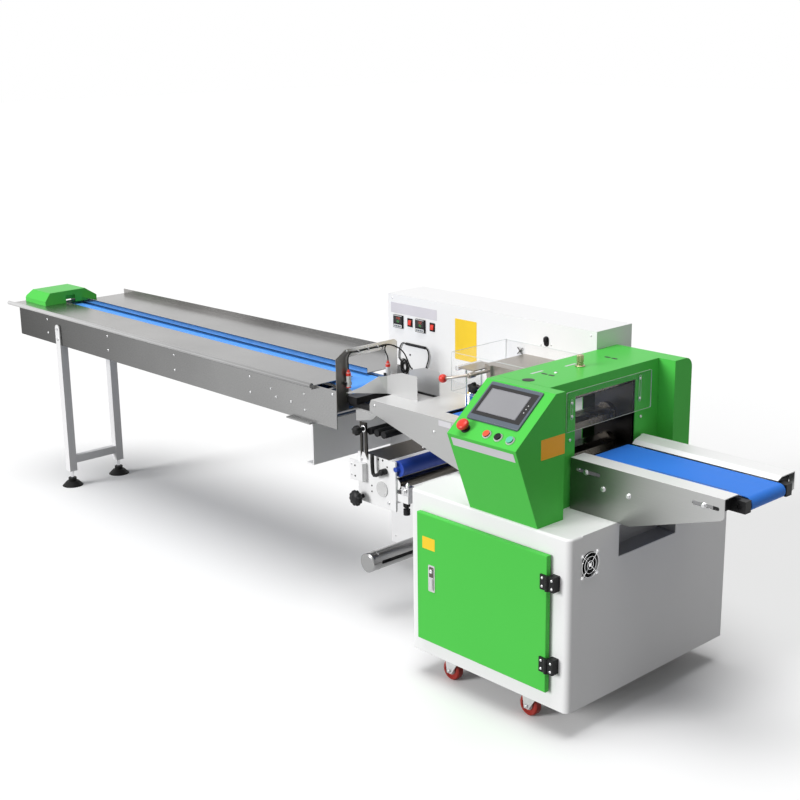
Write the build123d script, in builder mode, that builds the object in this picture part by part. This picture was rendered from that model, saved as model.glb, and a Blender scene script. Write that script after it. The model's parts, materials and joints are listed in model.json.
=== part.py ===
"""Horizontal flow wrapper: infeed table, film unit, former, end sealer and discharge belt.

Lengths in mm, +Z up, +X downstream, -Y the operator's side. The sizes below are laid out from the main
cabinet's front right bottom corner, and every piece is moved at the end so the origin is on the floor
at the middle of the whole machine's box.
"""

import os

from build123d import *

T = 3.0  # sheet thickness
FLOOR = -97.0  # floor under the cabinet's bottom edge

# main cabinet
CAB_L, CAB_D, CAB_H = 713.0, 842.0, 588.0
CAB_R = 22.0  # rounded front corners
FRONT_D = 60.0  # depth of the front frame
DOOR_X0, DOOR_X1 = -CAB_L + 58.0, -72.0
DOOR_Z0, DOOR_Z1 = 60.0, CAB_H - 64.0
DOOR_FRONT, DOOR_BACK = -24.0, -6.0
HINGE_X, HINGE_Y = -66.0, -30.0
HINGE_ZS = (DOOR_Z0 + 97.0, DOOR_Z1 - 87.0)
LATCH_X, LATCH_Z0, LATCH_Z1 = DOOR_X0 + 71.5, DOOR_Z0 + 194.0, DOOR_Z0 + 284.0
FAN_R, FAN_Y, FAN_Z = 43.0, 95.0, CAB_H - 104.0
NOTCH_Y0, NOTCH_Y1, NOTCH_Z = 240.0, 544.0, CAB_H - 118.0
PANEL_Y = 400.0  # mounting panel inside

# castors
CASTOR_IN = 62.0  # from the front and the back to the swivel
CASTOR_XS = {"left": -540.0, "right": -180.0}
CASTOR_YS = {"front": CASTOR_IN, "back": CAB_D - CASTOR_IN}
WHEEL_R, WHEEL_W, TRAIL = 37.5, 28.0, 26.0

# heights that follow the line on which the product runs
RUN_Z = CAB_H + 184.0
TABLE_TOP = RUN_Z - 1.0
OUT_TOP = RUN_Z - 10.0
OUT_BELT_Z = RUN_Z - 22.0
TRAY_TOP = RUN_Z + 13.0
IN_Z0, IN_Z1 = RUN_Z - 141.0, TRAY_TOP - T

# control pod and end seal housing
POD_X0, POD_X1 = -431.0, -138.0
HOUSE_TOP = CAB_H + 422.0
POD_LIP = (-100.0, CAB_H + 276.0)  # y, z of the sloping panel's lower edge
POD_RIDGE = (84.0, HOUSE_TOP)  # y, z of its upper edge
COVER_X0, COVER_X1 = POD_X0, -203.0
COVER_Y0, COVER_Y1 = 130.0, 694.0
DRIVE_X0, DRIVE_X1, DRIVE_Y1 = -434.0, -134.0, 790.0
OPEN_Y0, OPEN_Y1, OPEN_Z1 = 256.0, 569.0, HOUSE_TOP - 52.0
PLANE_Y = 226.0  # outer face of the table and conveyor side plates
FAR_Y = 607.0
SCREEN_W, SCREEN_H, SCREEN_X, SCREEN_S = 220.0, 156.0, -288.0, 148.0
BUTTONS = {"red_button": -280.0, "black_button": -232.0, "green_button": -182.0}
ESTOP_X, BUTTON_S, BUTTON_R = -372.0, 32.0, 9.5

# crimp jaws: two shafts, each with a bar that seals at both of its tips
JAW_X, JAW_Z, JAW_GAP = -318.0, RUN_Z, 104.0
JAW_REACH, JAW_T = 47.5, 26.0  # tip from the shaft's axis, and thickness there
JAW_Y0, JAW_Y1 = 296.0, 548.0
TEETH, TOOTH = 5, 2.0
SHAFT_JAW = 12.5
FRAME_YS = (238.0, 600.0)

# discharge conveyor
OUT_X0, OUT_X1 = -193.0, 391.0
OUT_BELT_Y0, OUT_BELT_Y1 = 322.0, 502.0
NOSE_X, TAIL_X, NOSE_R = 402.0, -170.0, 20.0
BELT_T = 2.5

# rear cabinet
REAR_X0, REAR_X1, REAR_Y0, REAR_TOP = -1515.0, -434.0, 645.0, CAB_H + 485.0
PANEL_Z, ROCKER_Z = REAR_TOP - 109.0, REAR_TOP - 105.0
ROCKERS = {"left_rocker": -1386.0, "right_rocker": -1258.0}
CONTROLLERS = (-1452.0, -1324.0)

# former table and bag former
TABLE_X0, TABLE_X1 = -1160.0, COVER_X0 - 1.0
TABLE_BELT_X0, TABLE_BELT_Y0, TABLE_BELT_Y1 = -840.0, 300.0, 500.0
TURNED_Z = TABLE_TOP - 56.0  # turned plate under the table's upstream end
BOX_X0, BOX_X1, BOX_Y0, BOX_Y1 = -1183.0, -1019.0, 331.0, 447.0
BOX_H, BOX_LOW = 94.0, 68.0  # former walls at their downstream and upstream ends

# fin seal unit
FIN_X0, FIN_Y0, FIN_Z0, FIN_TOP = -866.0, 356.0, RUN_Z + 62.0, RUN_Z + 209.0
FIN_FRAME_Y, FIN_FRAME_TOP = 430.0, FIN_TOP - 41.0
LEVER_X, LEVER_Y, LEVER_Z = -742.0, 334.0, RUN_Z + 148.0
BALL_X, BALL_Z, BALL_R = -887.0, RUN_Z + 110.0, 16.0
STAR_X, STAR_Y, STAR_Z, STAR_R = -740.0, 338.0, RUN_Z + 100.0, 22.0

# film unit
FILM_X0, FILM_X1, FILM_Y0, FILM_Y1 = -1210.0, -1002.0, 200.0, 208.0
FILM_Z0, FILM_Z1 = RUN_Z - 398.0, RUN_Z - 206.0
FEED_X, FEED_Z, FEED_R = -1004.0, RUN_Z - 234.0, 30.0
ARM_X, ARM_Z, ARM_T = -1172.0, RUN_Z - 109.0, 6.0
CLAMP_X, CLAMP_Z = -1056.0, RUN_Z - 251.0
TENSION_X, TENSION_Z = -1184.0, RUN_Z - 378.0
SHAFT_X, SHAFT_Z, SHAFT_R, SHAFT_Y0 = -1171.0, 123.0, 37.0, 200.0

# infeed conveyor
IN_X0, IN_X1 = -3800.0, -1317.0
IN_Y0, IN_Y1 = 190.0, 487.0
IN_BELT_Y0, IN_BELT_Y1 = 286.0, 478.0
IN_ROLLER_R = 24.5
IN_ROLLER_Z = RUN_Z - BELT_T - IN_ROLLER_R
TRAY_X1 = -1440.0
CHANNEL_Y0, CHANNEL_Y1 = 380.0, 457.0
HEM_Y, HEM_R = 170.0, 10.0
GUIDE_H, LIP_H = 20.0, 24.0
FAR_TRAY_Y0, FAR_TRAY_Y1 = 722.0, 787.0
LEG_X, LEG_W, LEG_Z0 = -3420.0, 40.0, -20.0
LEG_YS = {"near": IN_Y0 - 6.0, "far": IN_Y1 + 6.0 - LEG_W}
ARCH_TOP, ARCH_Y1, ARCH_W = RUN_Z + 165.0, 505.0, 60.0

pieces = {}


def block(x0, x1, y0, y1, z0, z1, mode=Mode.ADD):
    with Locations(((x0 + x1) / 2, (y0 + y1) / 2, (z0 + z1) / 2)):
        return Box(x1 - x0, y1 - y0, z1 - z0, mode=mode)


def rod_x(x0, x1, y, z, r, mode=Mode.ADD):
    with Locations(((x0 + x1) / 2, y, z)):
        return Cylinder(r, x1 - x0, rotation=(0, 90, 0), mode=mode)


def rod_y(x, y0, y1, z, r, mode=Mode.ADD):
    with Locations((x, (y0 + y1) / 2, z)):
        return Cylinder(r, y1 - y0, rotation=(90, 0, 0), mode=mode)


def rod_z(x, y, z0, z1, r, mode=Mode.ADD):
    with Locations((x, y, (z0 + z1) / 2)):
        return Cylinder(r, z1 - z0, mode=mode)


def plane_x(x):
    """Plane at x that looks downstream, with y to the right and z up."""
    return Plane(origin=(x, 0, 0), x_dir=(0, 1, 0), z_dir=(1, 0, 0))


def plane_y(y):
    """Plane at y that looks towards the operator, with x to the right and z up."""
    return Plane(origin=(0, y, 0), x_dir=(1, 0, 0), z_dir=(0, -1, 0))


def plate(plane, points, depth, mode=Mode.ADD):
    """Plate with its outline through the points in that plane, as thick as depth."""
    with BuildSketch(plane) as profile:
        with BuildLine():
            Polyline(*points, close=True)
        make_face()
    extrude(profile.sketch, amount=depth, mode=mode)


def plate_xz(points, y0, y1, mode=Mode.ADD):
    plate(plane_y(y1), points, y1 - y0, mode)


def plate_yz(points, x0, x1, mode=Mode.ADD):
    plate(plane_x(x0), points, x1 - x0, mode)


def plate_xy(points, z0, z1, mode=Mode.ADD):
    plate(Plane.XY.offset(z0), points, z1 - z0, mode)


def sheet(corners, depth):
    """Flat sheet through corners in space, thickened on the side they run anticlockwise seen from."""
    face = Plane(origin=corners[0], z_dir=(corners[1] - corners[0]).cross(corners[2] - corners[0]))
    local = [face.to_local_coords(corner) for corner in corners]
    plate(face, [(p.X, p.Y) for p in local], depth)


def slot_xz(x0, x1, z, width, y0, y1):
    """Cuts a long hole along x through what stands between y0 and y1."""
    with BuildSketch(plane_y(y1)) as hole:
        with Locations(((x0 + x1) / 2, z)):
            SlotOverall(x1 - x0, width)
    extrude(hole.sketch, amount=y1 - y0, mode=Mode.SUBTRACT)


def lead(points, start, end, r):
    """Round cable through the points, leaving and ending in those directions."""
    with BuildLine() as route:
        Spline(*points, tangents=[start, end])
    with BuildSketch(Plane(origin=points[0], z_dir=start)) as section:
        Circle(r)
    sweep(section.sketch, path=route.line)


def hollow(plane, points, depth):
    """Takes out the inside of a box with that outline, a sheet's thickness in from it."""
    with BuildSketch(plane) as inside:
        with BuildLine():
            Polyline(*points, close=True)
        make_face()
        offset(amount=-T, kind=Kind.INTERSECTION)
    extrude(inside.sketch, amount=depth, mode=Mode.SUBTRACT)


SLOPE = Vector(0, POD_RIDGE[0] - POD_LIP[0], POD_RIDGE[1] - POD_LIP[1]).normalized()


def on_slope(x, s):
    """Plane on the pod's sloping panel, s up the slope from its lower edge."""
    origin = Vector(x, *POD_LIP) + SLOPE * s
    return Plane(origin=origin, x_dir=(1, 0, 0), z_dir=(0, -SLOPE.Z, SLOPE.Y))


def keep(name, *builders):
    """Named sub-part from one or more builders, whose touching solids stay separate."""
    pieces[name] = Compound([solid for b in builders for solid in b.part.solids()])


# Main cabinet: front with its rounded corners, other panels, base, door and hinges.
with BuildPart() as cabinet_front:
    with BuildSketch(Plane.XY):
        with Locations((-CAB_L / 2, FRONT_D / 2)):
            Rectangle(CAB_L, FRONT_D)
    extrude(amount=CAB_H)
    fillet(cabinet_front.edges().filter_by(Axis.Z).group_by(Axis.Y)[0], CAB_R)
    fillet(cabinet_front.faces().sort_by(Axis.Z)[-1].edges().group_by(Axis.Y)[0], 8)
    block(-CAB_L + CAB_R, -CAB_R, T, FRONT_D, T, CAB_H - T, Mode.SUBTRACT)
    block(-CAB_L + T, -T, CAB_R, FRONT_D, T, CAB_H - T, Mode.SUBTRACT)
    block(DOOR_X0 + 22, DOOR_X1 - 22, -1, T + 1, DOOR_Z0 + 22, DOOR_Z1 - 22, Mode.SUBTRACT)
keep("cabinet_front", cabinet_front)

with BuildPart() as cabinet_sides:
    block(-CAB_L, -CAB_L + T, FRONT_D, CAB_D, 0, CAB_H)
    block(-T, 0, FRONT_D, CAB_D, 0, CAB_H)
    block(-T - 1, 1, NOTCH_Y0, NOTCH_Y1, NOTCH_Z, CAB_H - 12, Mode.SUBTRACT)
    rod_x(-T - 1, 1, FAN_Y, FAN_Z, FAN_R, Mode.SUBTRACT)

with BuildPart() as cabinet_top:
    block(-CAB_L + T, -T, FRONT_D, CAB_D, CAB_H - T, CAB_H)

with BuildPart() as cabinet_back:
    block(-CAB_L + T, -T, CAB_D - T, CAB_D, T, CAB_H - T)
keep("cabinet_panels", cabinet_sides, cabinet_top, cabinet_back)

with BuildPart() as cabinet_base:
    block(-CAB_L + T, -T, FRONT_D, CAB_D, 0, T)
    for cx in CASTOR_XS.values():
        for cy in CASTOR_YS.values():
            block(cx - 45, cx + 45, cy - 36, cy + 36, -5, 0)
    for cx in CASTOR_XS.values():
        for cy in CASTOR_YS.values():
            rod_z(cx, cy, -6, 1, 7, Mode.SUBTRACT)
keep("cabinet_base", cabinet_base)

with BuildPart() as mounting_panel:
    block(-CAB_L + T, -CAB_L + FRONT_D, PANEL_Y, PANEL_Y + T, T, NOTCH_Z - 50)
    block(-FRONT_D, -T, PANEL_Y, PANEL_Y + T, T, NOTCH_Z - 50)
    block(-CAB_L + FRONT_D, -FRONT_D, PANEL_Y, PANEL_Y + T, 40, NOTCH_Z - 70)
    block(DOOR_X0 + 95, DOOR_X0 + 325, PANEL_Y - 40, PANEL_Y, 200, NOTCH_Z - 130)
    block(DOOR_X1 - 228, DOOR_X1 - 78, PANEL_Y - 70, PANEL_Y, 160, NOTCH_Z - 130)
    block(DOOR_X0 + 95, DOOR_X1 - 78, PANEL_Y - 24, PANEL_Y, 80, 120)
keep("mounting_panel", mounting_panel)

with BuildPart() as cabinet_door:
    block(DOOR_X0, DOOR_X1, DOOR_FRONT, DOOR_BACK, DOOR_Z0, DOOR_Z1)
    fillet(cabinet_door.faces().sort_by(Axis.Y)[0].edges(), 3)
    block(DOOR_X0 + T, DOOR_X1 - T, DOOR_FRONT + T, DOOR_BACK + 1, DOOR_Z0 + T, DOOR_Z1 - T, Mode.SUBTRACT)
    block(LATCH_X - 12.5, LATCH_X + 12.5, DOOR_FRONT - 1, DOOR_FRONT + 5, LATCH_Z0, LATCH_Z1, Mode.SUBTRACT)
keep("cabinet_door", cabinet_door)

with BuildPart() as door_latch:
    block(LATCH_X - 12.5, LATCH_X + 12.5, DOOR_FRONT, DOOR_FRONT + T, LATCH_Z0, LATCH_Z1)
    with BuildSketch(plane_y(DOOR_FRONT)):
        with Locations((LATCH_X, (LATCH_Z0 + LATCH_Z1) / 2)):
            RectangleRounded(31, LATCH_Z1 - LATCH_Z0 + 6, 4)
    extrude(amount=2)
    block(LATCH_X - 10, LATCH_X + 10, DOOR_FRONT - 4, DOOR_FRONT - 2, LATCH_Z0 + 4, LATCH_Z1 - 40)
    rod_y(LATCH_X, DOOR_FRONT - 4, DOOR_FRONT - 2, LATCH_Z1 - 18, 8)
    block(LATCH_X - 8, LATCH_X + 8, DOOR_FRONT + T, DOOR_FRONT + 12, LATCH_Z0 + 16, LATCH_Z1 - 14)
keep("door_latch", door_latch)

LEAF_T, BARREL_R, PIN_R = 6.0, 6.5, 2.4
with BuildPart() as hinge_leaves:  # on the door
    for z in HINGE_ZS:
        block(HINGE_X - 29, HINGE_X - 8, DOOR_FRONT - LEAF_T, DOOR_FRONT, z - 25, z + 25)
        rod_z(HINGE_X, HINGE_Y, z - 9, z + 9, BARREL_R)
        block(HINGE_X - 8, HINGE_X, HINGE_Y, DOOR_FRONT, z - 9, z + 9)
        rod_z(HINGE_X, HINGE_Y, z - 10, z + 10, PIN_R + 0.3, Mode.SUBTRACT)
keep("hinge_leaves", hinge_leaves)

with BuildPart() as hinge_brackets:  # on the cabinet
    for z in HINGE_ZS:
        block(HINGE_X + 3, HINGE_X + 28, DOOR_FRONT - LEAF_T, 0, z - 25, z + 25)
        block(HINGE_X, HINGE_X + 3, HINGE_Y - 3, HINGE_Y + 6, z - 25, z + 25)
        block(HINGE_X - 8, HINGE_X + 7.5, HINGE_Y - 8, HINGE_Y + 8, z - 10, z + 10, Mode.SUBTRACT)
        rod_z(HINGE_X, HINGE_Y, z - 25, z - 10, BARREL_R)
        rod_z(HINGE_X, HINGE_Y, z + 10, z + 25, BARREL_R)
        rod_z(HINGE_X, HINGE_Y, z - 25, z + 25, PIN_R)
keep("hinge_brackets", hinge_brackets)

# Castors: fork turns under its plate, wheel turns in the fork.
for side, cx in CASTOR_XS.items():
    for end, cy in CASTOR_YS.items():
        wx, wz = cx - TRAIL, FLOOR + WHEEL_R
        with BuildPart() as fork:
            rod_z(cx, cy, -12, -6, 26)
            rod_z(cx, cy, -6, 0, 6)
            block(cx - 44, cx + 18, cy - 23, cy + 23, -16, -12)
            cheek = [(cx + 18, -16), (cx - 44, -16), (wx - 10, wz - 10), (wx + 10, wz - 10)]
            plate_xz(cheek, cy - 23, cy - 20)
            plate_xz(cheek, cy + 20, cy + 23)
            rod_y(wx, cy - 26, cy + 26, wz, 5)
        keep("castor_fork_" + end + "_" + side, fork)
        with BuildPart() as wheel:
            rod_y(wx, cy - WHEEL_W / 2, cy + WHEEL_W / 2, wz, WHEEL_R)
            chamfer(wheel.edges().filter_by(GeomType.CIRCLE), 4)
            rod_y(wx, cy - WHEEL_W / 2 - 1, cy - WHEEL_W / 2 + T, wz, 26, Mode.SUBTRACT)
            rod_y(wx, cy + WHEEL_W / 2 - T, cy + WHEEL_W / 2 + 1, wz, 26, Mode.SUBTRACT)
            rod_y(wx, cy - WHEEL_W / 2, cy + WHEEL_W / 2, wz, 11)
            rod_y(wx, cy - 30, cy + 30, wz, 5.5, Mode.SUBTRACT)
        keep("castor_wheel_" + end + "_" + side, wheel)

# Cooling fan in the right side: frame inside, rotor, wire guard outside.
FAN_D, WIRE = 25.0, 2.2
with BuildPart() as fan_frame:
    block(-T - FAN_D, -T, FAN_Y - 46, FAN_Y + 46, FAN_Z - 46, FAN_Z + 46)
    rod_x(-T - FAN_D - 1, 0, FAN_Y, FAN_Z, FAN_R, Mode.SUBTRACT)
    rod_x(-T - FAN_D, -T - 20, FAN_Y, FAN_Z, 16)
    block(-T - FAN_D, -T - 22, FAN_Y - 44, FAN_Y + 44, FAN_Z - 3, FAN_Z + 3)
    block(-T - FAN_D, -T - 22, FAN_Y - 3, FAN_Y + 3, FAN_Z - 44, FAN_Z + 44)
    rod_x(-T - 20, -T - 8, FAN_Y, FAN_Z, 3)

with BuildPart() as fan_rotor:
    rod_x(-T - 17, -T - 4, FAN_Y, FAN_Z, 17)
    hub = Plane(origin=(-T - 17, FAN_Y, FAN_Z), x_dir=(0, 1, 0), z_dir=(1, 0, 0))
    for k in range(7):
        with BuildSketch(hub.rotated((360 / 7 * k, 0, 0))):
            with Locations((0, 26)):
                Rectangle(5, 22)
        extrude(amount=10)
    rod_x(-T - 18, -T - 7, FAN_Y, FAN_Z, 3.4, Mode.SUBTRACT)
keep("fan_rotor", fan_rotor)

with BuildPart() as fan_guard:
    for r in (18.0, 30.0, FAN_R - 1):
        with BuildSketch(plane_x(T)):
            with Locations((FAN_Y, FAN_Z)):
                RegularPolygon(r + WIRE / 2, 24)
                RegularPolygon(r - WIRE / 2, 24, mode=Mode.SUBTRACT)
        extrude(amount=WIRE)
    rod_x(T - WIRE, T + WIRE, FAN_Y, FAN_Z, 7)
    for tilt in (-45, 45):
        with Locations((T - WIRE / 2, FAN_Y, FAN_Z)):
            Box(WIRE, 3, 2 * FAN_R + 22, rotation=(tilt, 0, 0))
    for sy in (-1, 1):
        for sz in (-1, 1):
            rod_x(0, T, FAN_Y + sy * 36, FAN_Z + sz * 36, 5)
keep("fan_guard", fan_frame, fan_guard)

# Control pod with its screen, emergency stop and buttons.
POD_BACK = COVER_Y0 - 2.0
POD = [(6, CAB_H), POD_LIP, POD_RIDGE, (POD_BACK, HOUSE_TOP), (POD_BACK, CAB_H)]
with BuildPart() as control_pod:
    plate_yz(POD, POD_X0, POD_X1)
    hollow(plane_x(POD_X0 + T), POD, POD_X1 - POD_X0 - 2 * T)
    for bx in (ESTOP_X, *BUTTONS.values()):
        with BuildSketch(on_slope(bx, BUTTON_S).offset(-8)):
            Circle(BUTTON_R + 0.5)
        extrude(amount=12, mode=Mode.SUBTRACT)
keep("control_pod", control_pod)

with BuildPart() as operator_screen:
    with BuildSketch(on_slope(SCREEN_X, SCREEN_S)):
        RectangleRounded(SCREEN_W, SCREEN_H, 4)
    extrude(amount=6)
    with BuildSketch(on_slope(SCREEN_X - 3, SCREEN_S + 5).offset(5)):
        Rectangle(SCREEN_W - 50, SCREEN_H - 64)
    extrude(amount=2, mode=Mode.SUBTRACT)
keep("operator_screen", operator_screen)

with BuildPart() as button_bezels:
    for bx, height in ((ESTOP_X, 6), *((b, 4) for b in BUTTONS.values())):
        with BuildSketch(on_slope(bx, BUTTON_S)):
            Circle(BUTTON_R + 5)
            Circle(BUTTON_R + 1, mode=Mode.SUBTRACT)
        extrude(amount=height)

for name, bx in BUTTONS.items():
    with BuildPart() as button:
        with BuildSketch(on_slope(bx, BUTTON_S).offset(-7)):
            Circle(BUTTON_R)
        extrude(amount=14)
    keep(name, button)

STOP_R, STOP_NECK = 20.0, 12.0
with BuildPart() as emergency_stop:
    with BuildSketch(on_slope(ESTOP_X, BUTTON_S).offset(-7)):
        Circle(BUTTON_R)
    extrude(amount=8 + STOP_NECK)
    with BuildSketch(on_slope(ESTOP_X, BUTTON_S).offset(STOP_NECK)):
        Circle(STOP_R - 6)
    with BuildSketch(on_slope(ESTOP_X, BUTTON_S).offset(STOP_NECK + 8)):
        Circle(STOP_R)
    loft()
    with BuildSketch(on_slope(ESTOP_X, BUTTON_S).offset(STOP_NECK + 8)):
        Circle(STOP_R)
    extrude(amount=12)
    chamfer(emergency_stop.edges().group_by(Axis.Z)[-1], 4)
keep("emergency_stop", emergency_stop)

# End seal housing: the bridge cover, the drive housing behind it and the clear shield.
with BuildPart() as end_seal_cover:
    block(COVER_X0, COVER_X1, COVER_Y0, COVER_Y1, CAB_H, HOUSE_TOP)
    block(COVER_X0 + T, COVER_X1 - T, COVER_Y0 + T, COVER_Y1 + 1, CAB_H - 1, HOUSE_TOP - T, Mode.SUBTRACT)
    block(COVER_X0 - 1, COVER_X1 + 1, OPEN_Y0, OPEN_Y1, CAB_H + 4, OPEN_Z1, Mode.SUBTRACT)
    rod_z(JAW_X, 157, HOUSE_TOP - 10, HOUSE_TOP + 1, 14, Mode.SUBTRACT)
    for y in (254, 580):
        for x in (JAW_X - 16, JAW_X + 14):
            block(x - 10, x + 10, y - 4, y + 4, HOUSE_TOP - 10, HOUSE_TOP + 1, Mode.SUBTRACT)

with BuildPart() as drive_housing:
    block(DRIVE_X0, DRIVE_X1, COVER_Y1, DRIVE_Y1, CAB_H, HOUSE_TOP)
    fillet(drive_housing.faces().sort_by(Axis.Z)[-1].edges().sort_by(Axis.Y)[-1], 36)
    block(DRIVE_X0 + T, DRIVE_X1 - T, COVER_Y1 + T, DRIVE_Y1 - T, CAB_H + T, HOUSE_TOP - 40, Mode.SUBTRACT)
keep("end_seal_cover", end_seal_cover, drive_housing)

with BuildPart() as clear_shield:
    block(COVER_X1, COVER_X1 + 4, OPEN_Y0 - 47, OPEN_Y1 + 84, HOUSE_TOP - 165, HOUSE_TOP - 32)
    fillet(clear_shield.edges().filter_by(Axis.X), 6)
keep("clear_shield", clear_shield)

# Seal frames: side plates with the jaw shafts' bearings, and their tie bars.
FRAME_T, BEARING_R, BOSS = 12.0, 34.0, 4.0
JAW_ZS = {"lower_jaw": JAW_Z - JAW_GAP / 2, "upper_jaw": JAW_Z + JAW_GAP / 2}
with BuildPart() as seal_frames:
    for y in FRAME_YS:
        block(JAW_X - 82, JAW_X + 82, y, y + FRAME_T, CAB_H, HOUSE_TOP - 50)
        for z in JAW_ZS.values():
            rod_y(JAW_X, y, y + FRAME_T + BOSS, z, BEARING_R)
            rod_y(JAW_X, y - 1, y + FRAME_T + BOSS + 1, z, SHAFT_JAW + 0.5, Mode.SUBTRACT)
    for x in (JAW_X - 72, JAW_X + 72):
        rod_y(x, FRAME_YS[0] + FRAME_T, FRAME_YS[1], HOUSE_TOP - 70, 8)
keep("seal_frames", seal_frames)

# Crimp jaws: a shaft with end discs, a gear, and a bar with serrated sealing faces at both tips.
pitch = JAW_T / TEETH
crimp = []
for k in range(TEETH):
    crimp.append((JAW_REACH, -JAW_T / 2 + pitch * k))
    crimp.append((JAW_REACH - TOOTH, -JAW_T / 2 + pitch * (k + 0.5)))
crimp.append((JAW_REACH, JAW_T / 2))
half = [(20, -22), *crimp, (20, 22)]
JAW = half + [(-dx, -dz) for dx, dz in half]
for name, z in JAW_ZS.items():
    with BuildPart() as rotor:
        rod_y(JAW_X, FRAME_YS[0] - 2, FRAME_YS[1] + 40, z, SHAFT_JAW)
        rod_y(JAW_X, JAW_Y0 - 22, JAW_Y0, z, 36)
        rod_y(JAW_X, JAW_Y1, JAW_Y1 + 22, z, 36)
        plate_xz([(JAW_X + dx, z + dz) for dx, dz in JAW], JAW_Y0, JAW_Y1)
        rod_y(JAW_X, FRAME_YS[1] + FRAME_T + 10, FRAME_YS[1] + 40, z, JAW_GAP / 2 - 3)
    keep(name, rotor)

with BuildPart() as pressure_adjuster:
    rod_z(JAW_X, 415, HOUSE_TOP, HOUSE_TOP + 4, 16)
    rod_z(JAW_X, 415, HOUSE_TOP, HOUSE_TOP + 40, 9)
keep("pressure_adjuster", pressure_adjuster)

# Discharge conveyor.
ROLLER_Z = OUT_BELT_Z - NOSE_R - BELT_T
with BuildPart() as discharge_frame:
    corner = [(OUT_X1, OUT_TOP), (OUT_X1, OUT_TOP - 59), (OUT_X1 - 9, OUT_TOP - 69)]
    outline = [(OUT_X0, OUT_TOP), *corner, (50, CAB_H), (OUT_X0, CAB_H)]
    plate_xz(outline, PLANE_Y, PLANE_Y + T)
    plate_xz(outline, FAR_Y - T, FAR_Y)
    for edge, flat, lip in ((PLANE_Y, 69, 88), (FAR_Y, -76, -97)):
        flange = [(0, 0), (0, -T), (flat, -T), (lip, -13), (lip, -10), (flat, 0)]
        plate_yz([(edge + dy, OUT_TOP + dz) for dy, dz in flange], OUT_X0, OUT_X1)
    slant = [(OUT_X0 - 1, 505), (OUT_X0 + 30, 505), (OUT_X0 + 6, 590), (OUT_X0 - 1, 590)]
    plate_xy(slant, OUT_TOP - 14, OUT_TOP + 1, Mode.SUBTRACT)
    for x0 in (OUT_X0 + 25, OUT_X1 - 114):
        slot_xz(x0, x0 + 97, OUT_TOP - 35, 12, PLANE_Y - 1, FAR_Y + 1)
    block(-140, 370, OUT_BELT_Y0 + 2, OUT_BELT_Y1 - 2, OUT_BELT_Z - 18, OUT_BELT_Z - T)
    for x in (-20, 110, 240):
        rod_y(x, PLANE_Y + T, FAR_Y - T, OUT_BELT_Z - 21, 8)
    block(OUT_X0, -4, PLANE_Y, PLANE_Y + 34, CAB_H, CAB_H + T)
    block(OUT_X0, -4, FAR_Y - 34, FAR_Y, CAB_H, CAB_H + T)
keep("discharge_frame", discharge_frame)

with BuildPart() as discharge_belt:
    with BuildSketch(plane_y(OUT_BELT_Y1)):
        with Locations(((NOSE_X + TAIL_X) / 2, ROLLER_Z)):
            SlotOverall(NOSE_X - TAIL_X + 2 * (NOSE_R + BELT_T), 2 * (NOSE_R + BELT_T))
            SlotOverall(NOSE_X - TAIL_X + 2 * NOSE_R, 2 * NOSE_R, mode=Mode.SUBTRACT)
    extrude(amount=OUT_BELT_Y1 - OUT_BELT_Y0)
keep("discharge_belt", discharge_belt)

with BuildPart() as discharge_rollers:
    for x in (NOSE_X, TAIL_X):
        rod_y(x, OUT_BELT_Y0, OUT_BELT_Y1, ROLLER_Z, NOSE_R)
    rod_y(TAIL_X, PLANE_Y + T, FAR_Y - T, ROLLER_Z, 9)
    rod_y(NOSE_X, OUT_BELT_Y0 - 32, OUT_BELT_Y1 + 33, ROLLER_Z, 9)

with BuildPart() as nose_blocks:
    for y0, y1 in ((OUT_BELT_Y0 - 36, OUT_BELT_Y0 - 6), (OUT_BELT_Y1 + 6, OUT_BELT_Y1 + 36)):
        block(OUT_X1 - 41, NOSE_X + 22, y0, y1, ROLLER_Z - 19, ROLLER_Z + 19)
        rod_y(NOSE_X, y0 - 1, y1 + 1, ROLLER_Z, 9.2, Mode.SUBTRACT)
    block(OUT_X1 - 41, OUT_X1 - 19, PLANE_Y + T, OUT_BELT_Y0 - 36, ROLLER_Z - 15, ROLLER_Z + 15)
    block(OUT_X1 - 41, OUT_X1 - 19, OUT_BELT_Y1 + 36, FAR_Y - T, ROLLER_Z - 15, ROLLER_Z + 15)

# Rear cabinet over and beside the main cabinet.
STEP_X, STEP_Z = -CAB_L - 1, CAB_H + 1
STEP = [(STEP_X, 0), (STEP_X, STEP_Z), (REAR_X1, STEP_Z)]
REAR = [(REAR_X0, 0), *STEP, (REAR_X1, REAR_TOP), (REAR_X0, REAR_TOP)]
with BuildPart() as rear_cabinet:
    plate_xz(REAR, REAR_Y0, CAB_D)
    hollow(plane_y(CAB_D - T), REAR, CAB_D - REAR_Y0 - 2 * T)
    for x in ROCKERS.values():
        block(x - 11, x + 11, REAR_Y0 - 1, REAR_Y0 + T + 1, ROCKER_Z - 14, ROCKER_Z + 14, Mode.SUBTRACT)
keep("rear_cabinet", rear_cabinet)

with BuildPart() as temperature_controllers:
    for x in CONTROLLERS:
        block(x - 26, x + 26, REAR_Y0 - 8, REAR_Y0, PANEL_Z - 26, PANEL_Z + 26)
        block(x - 21, x + 21, REAR_Y0 - 9, REAR_Y0 - 7, PANEL_Z - 6, PANEL_Z + 22, Mode.SUBTRACT)

with BuildPart() as rocker_bezels:
    for x in ROCKERS.values():
        block(x - 14, x + 14, REAR_Y0 - 3, REAR_Y0, ROCKER_Z - 17, ROCKER_Z + 17)
        block(x - 11, x + 11, REAR_Y0 - 3, REAR_Y0 + 12, ROCKER_Z - 14, ROCKER_Z + 14)
        block(x - 10, x + 10, REAR_Y0 - 4, REAR_Y0 + 11, ROCKER_Z - 13, ROCKER_Z + 13, Mode.SUBTRACT)
        rod_x(x - 10.5, x + 10.5, REAR_Y0 + 1, ROCKER_Z, 1.5)
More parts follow.
